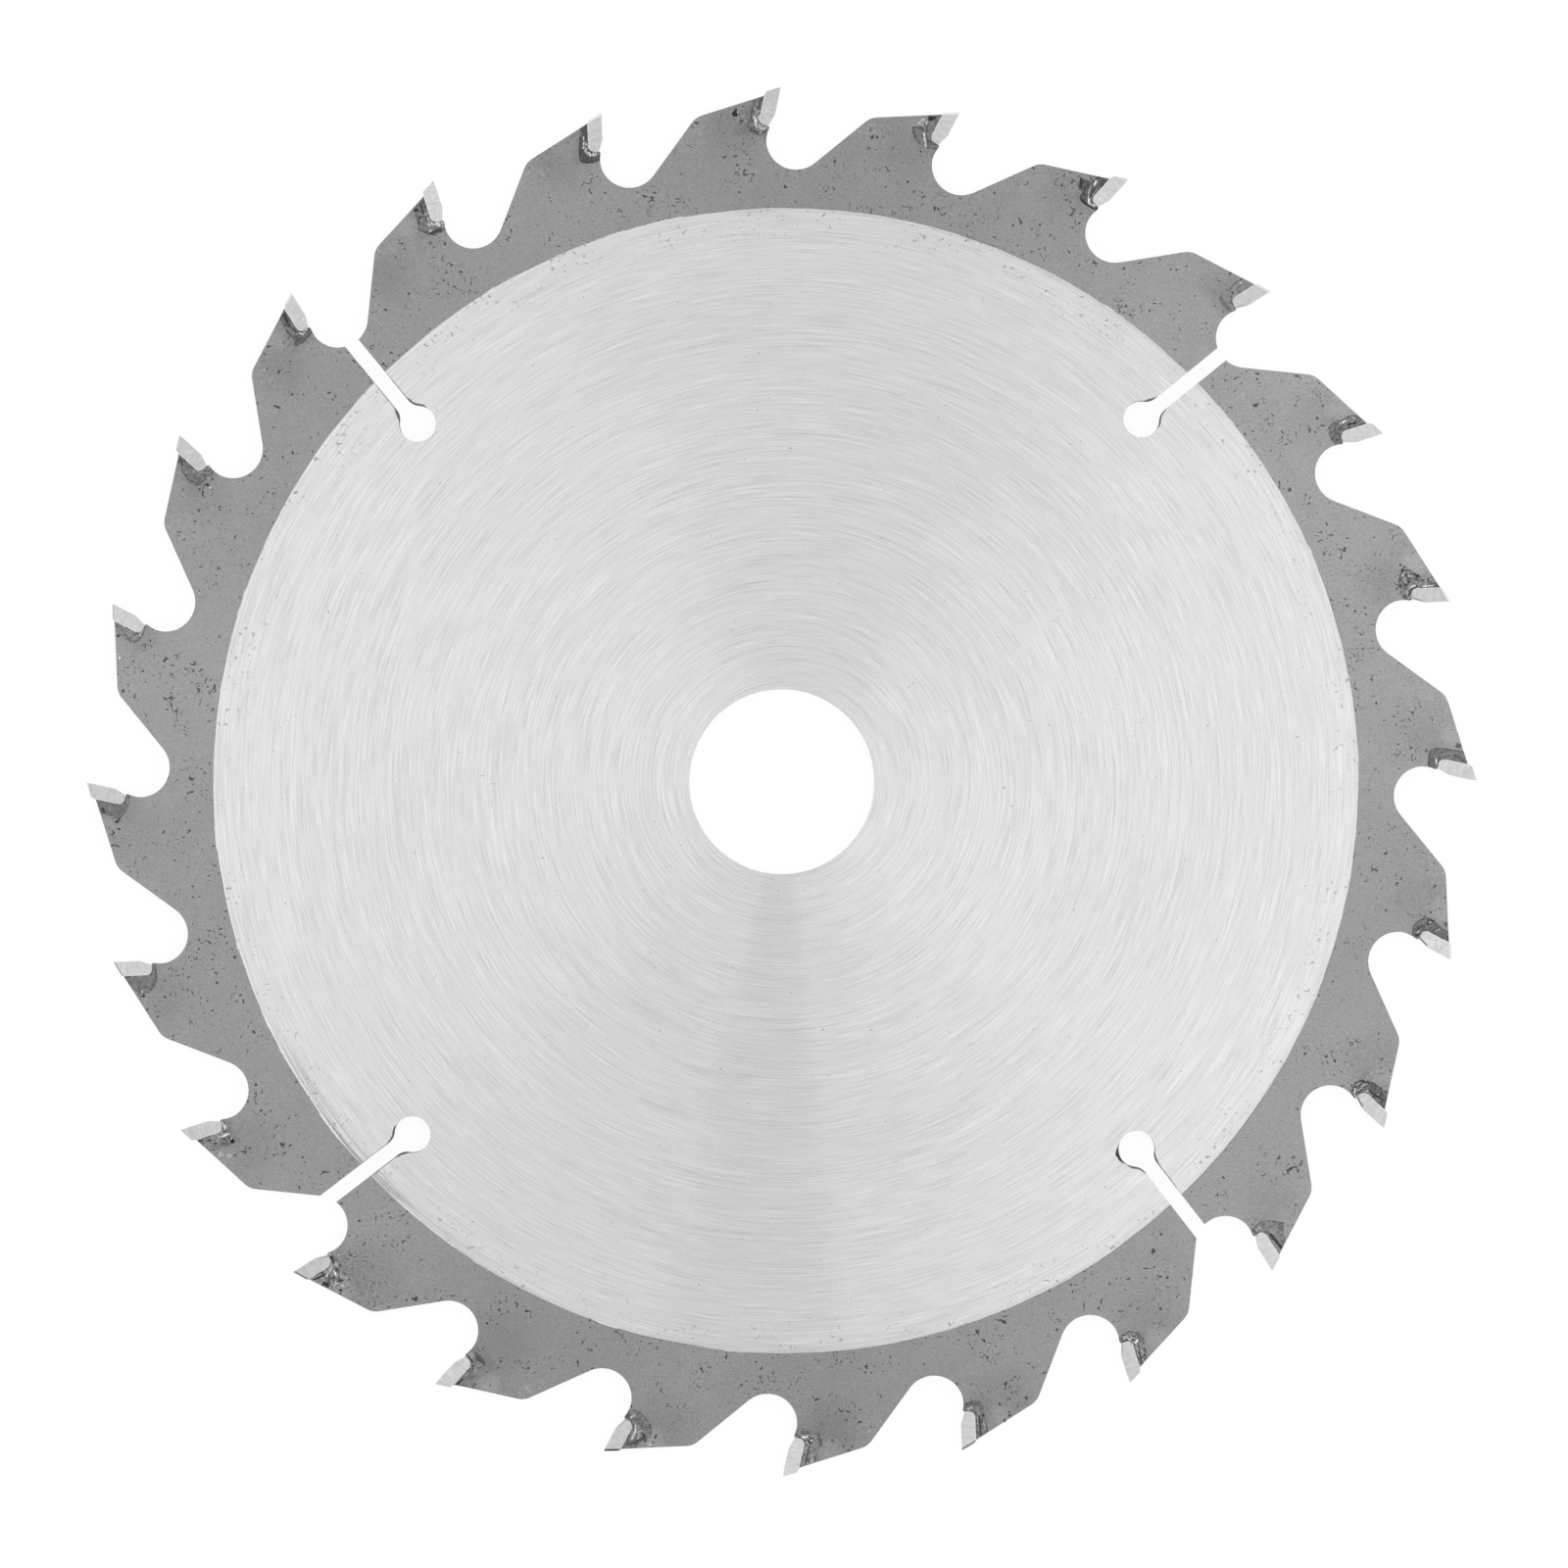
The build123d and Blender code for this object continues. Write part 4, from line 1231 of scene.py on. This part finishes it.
class Shell:
    """Vertices, skins and faces of one piece, collected part by part."""

    def __init__(self, number):
        self.number = number
        self.vertices = []
        self.skins = []
        self.faces = []

    def point(self, place, height, tone, gloss):
        self.vertices.append(on_blade(place, height, self.number))
        self.skins.append((tone, gloss, 0.0, 1.0))
        return len(self.vertices) - 1

    def face(self, corners, flip):
        self.faces.append(list(reversed(corners)) if flip else list(corners))

    def bead(self, look, side, seed):
        """A closed bead on one face of the tooth: its skin, and a flat underside."""
        rows = bead_rows(look, seed)
        flip = side > 0
        grid = []
        for row in rows:
            grid.append([self.point(spot[0], side * (RIM_HALF + spot[1]), *spot[2:]) for spot in row])
        for first, second in zip(grid, grid[1:]):
            for left, right, next_left, next_right in zip(first, first[1:], second, second[1:]):
                self.face((left, right, next_right, next_left), flip)
        self.underside(rows, grid, side, flip)

    def underside(self, rows, grid, side, flip):
        """The low walls round a bead and the strip that closes it on the steel."""
        ring = [(0, column) for column in range(WIDTH_STEPS)]
        ring += [(row, WIDTH_STEPS) for row in range(ALONG_STEPS)]
        ring += [(ALONG_STEPS, column) for column in range(WIDTH_STEPS, 0, -1)]
        ring += [(row, 0) for row in range(ALONG_STEPS, 0, -1)]
        upper = [grid[row][column] for row, column in ring]
        lower = []
        for row, column in ring:
            place, _, tone, _ = rows[row][column]
            lower.append(self.point(place, side * RIM_HALF, tone, 0.5))
        for step in range(len(ring)):
            following = (step + 1) % len(ring)
            self.face((upper[step], lower[step], lower[following], upper[following]), flip)
        for row in range(ALONG_STEPS):
            inner = lower[-row % len(ring)]
            next_inner = lower[-(row + 1)]
            outer = lower[WIDTH_STEPS + row]
            next_outer = lower[WIDTH_STEPS + row + 1]
            self.face((inner, next_inner, next_outer, outer), flip)

    def drop(self, spot, side, seed):
        """A low drop or flake of crust on the tooth, with a ragged outline."""
        back, down, radius, tone = spot
        flip = side > 0
        height = DROP_HEIGHT + DROP_RISE * radius
        top = self.point((-back, -down), side * (RIM_HALF + height), tone, DARK_GLOSS)
        levels = []
        for ring in range(1, DROP_RINGS + 1):
            share = ring / DROP_RINGS
            level = []
            for step in range(DROP_SIDES):
                turn = 2 * math.pi * step / DROP_SIDES
                bump = Vector((math.cos(turn) * 1.3, math.sin(turn) * 1.3, seed))
                ragged = 1 + 0.55 * noise.noise(bump) + 0.35 * noise.noise(bump * 2.7)
                reach = radius * share * ragged
                place = (reach * math.cos(turn) - back, reach * math.sin(turn) - down)
                speck = lumpiness(place[0] * 6, place[1] * 6, seed)
                lift = height * (1 - share**2) * (1 + 0.5 * speck) if ring < DROP_RINGS else 0.0
                skin = tone * (1 + 0.7 * speck)
                if tone > 0.3:
                    skin += (DROP_FOOT_TONE - skin) * share**2
                level.append(self.point(place, side * (RIM_HALF + max(lift, 0.0)), skin, DARK_GLOSS))
            levels.append(level)
        for step in range(DROP_SIDES):
            following = (step + 1) % DROP_SIDES
            self.face((top, levels[0][following], levels[0][step]), flip)
            for first, second in zip(levels, levels[1:]):
                self.face((first[step], first[following], second[following], second[step]), flip)
        self.face(levels[-1], flip)

    def film(self, look):
        """The film of alloy in the seat, from face to face."""
        rows = film_rows()
        tone = SEAT_SHARE * look["tone"]
        ends = []
        for height in (RIM_HALF, -RIM_HALF):
            ends.append([[self.point(place, height, tone, DARK_GLOSS) for place in row] for row in rows])
        front, back = ends
        for step in range(ALONG_STEPS):
            inner, outer = front[step]
            next_inner, next_outer = front[step + 1]
            back_inner, back_outer = back[step]
            back_next_inner, back_next_outer = back[step + 1]
            self.face((inner, outer, next_outer, next_inner), True)
            self.face((back_inner, back_outer, back_next_outer, back_next_inner), False)
            self.face((inner, next_inner, back_next_inner, back_inner), True)
            self.face((outer, next_outer, back_next_outer, back_outer), False)
        for step, flip in ((0, True), (-1, False)):
            self.face((front[step][0], back[step][0], back[step][1], front[step][1]), flip)


def add_object(name, data):
    item = bpy.data.objects.new(name, data)
    bpy.context.scene.collection.objects.link(item)
    return item


def brazed_joint(number, material):
    """The alloy of one tip: a bead on each face of the tooth, drops, and the film between."""
    shell = Shell(number)
    for side in (1, -1):
        look = JOINTS[number if side > 0 else (number + BACK_LOOK_SHIFT) % TEETH]
        seed = TOOTH_SEED * number + (0.0 if side > 0 else BACK_SEED)
        shell.bead(look, side, seed)
        for index, spot in enumerate(look["spots"]):
            shell.drop(spot, side, seed + DROP_SEED * index)
    shell.film(JOINTS[number])

    mesh = bpy.data.meshes.new(f"braze_bead_{number + 1:02d}")
    mesh.from_pydata(shell.vertices, [], shell.faces)
    mesh.validate()
    skin = mesh.color_attributes.new("skin", "FLOAT_COLOR", "POINT")
    for entry, value in zip(skin.data, shell.skins):
        entry.color = value
    for face in mesh.polygons:
        face.use_smooth = True
    mesh.materials.append(material)
    piece = add_object(mesh.name, mesh)
    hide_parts(f"braze_joint_{number + 1:02d}")
    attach(piece, "root")


# Studio

def build_floor():
    """A white floor that the blade lies on. It shows plain white and keeps a faint shadow."""
    nodes = Nodes("floor_white")
    path = nodes.add("ShaderNodeLightPath").outputs
    seen = nodes.higher(Value(nodes, path["Is Camera Ray"]), Value(nodes, path["Is Glossy Ray"]))
    seen = nodes.higher(seen, Value(nodes, path["Is Transmission Ray"]))
    plain = nodes.value("ShaderNodeBsdfDiffuse", {"Color": FLOOR_COLOUR})
    white = nodes.value("ShaderNodeEmission", {"Color": WHITE, "Strength": 1.0})
    both = nodes.value("ShaderNodeMixShader", {0: seen * FLOOR_WHITE, 1: plain, 2: white})
    material = nodes.finish(both)

    level = -TIP_HALF * MM
    square = ((-1, -1), (1, -1), (1, 1), (-1, 1))
    corners = [(x * FLOOR_REACH, y * FLOOR_REACH, level) for x, y in square]
    mesh = bpy.data.meshes.new("studio_floor")
    mesh.from_pydata(corners, [], [(0, 1, 2, 3)])
    mesh.materials.append(material)
    floor = add_object("studio_floor", mesh)


def build_world():
    """White all round, as a light tent gives it."""
    world = bpy.data.worlds.new("studio_world")
    bpy.context.scene.world = world
    world.use_nodes = True
    background = world.node_tree.nodes["Background"]
    background.inputs["Color"].default_value = WHITE
    background.inputs["Strength"].default_value = 1.0


def soft_box(name, azimuth, away, above, length, depth, power):
    """A lamp that faces the blade, from an azimuth in degrees. Its sizes are metres."""
    light = bpy.data.lights.new(name, "AREA")
    light.shape = "RECTANGLE"
    light.size = length
    light.size_y = depth
    light.energy = power
    lamp = add_object(name, light)
    turn = math.radians(azimuth)
    lamp.location = (away * math.cos(turn), away * math.sin(turn), above)
    lamp.rotation_euler = (math.atan2(away, above), 0.0, turn + math.pi / 2)


def build_camera():
    """Straight above, as in the photograph. Its frame is 214.6 mm wide at the blade."""
    data = bpy.data.cameras.new("photo_camera")
    data.sensor_width = CAMERA_SENSOR
    data.lens = CAMERA_LENS
    data.clip_start = 0.01
    camera = add_object("photo_camera", data)
    camera.location = CAMERA_PLACE
    camera.rotation_euler = (0.0, 0.0, math.radians(CAMERA_TURN))
    bpy.context.scene.camera = camera


# Assembly

steel = plate_finish()
carbide = carbide_finish()
alloy = braze_finish()

for name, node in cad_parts.items():
    if name == "saw_plate":
        node.material_slots[0].material = steel
    elif name.startswith("carbide_tip"):
        node.material_slots[0].material = carbide

for number in range(TEETH):
    brazed_joint(number, alloy)

build_floor()
build_world()
for lamp in LAMPS:
    soft_box(*lamp)
build_camera()

bpy.context.scene.view_settings.view_transform = "Standard"
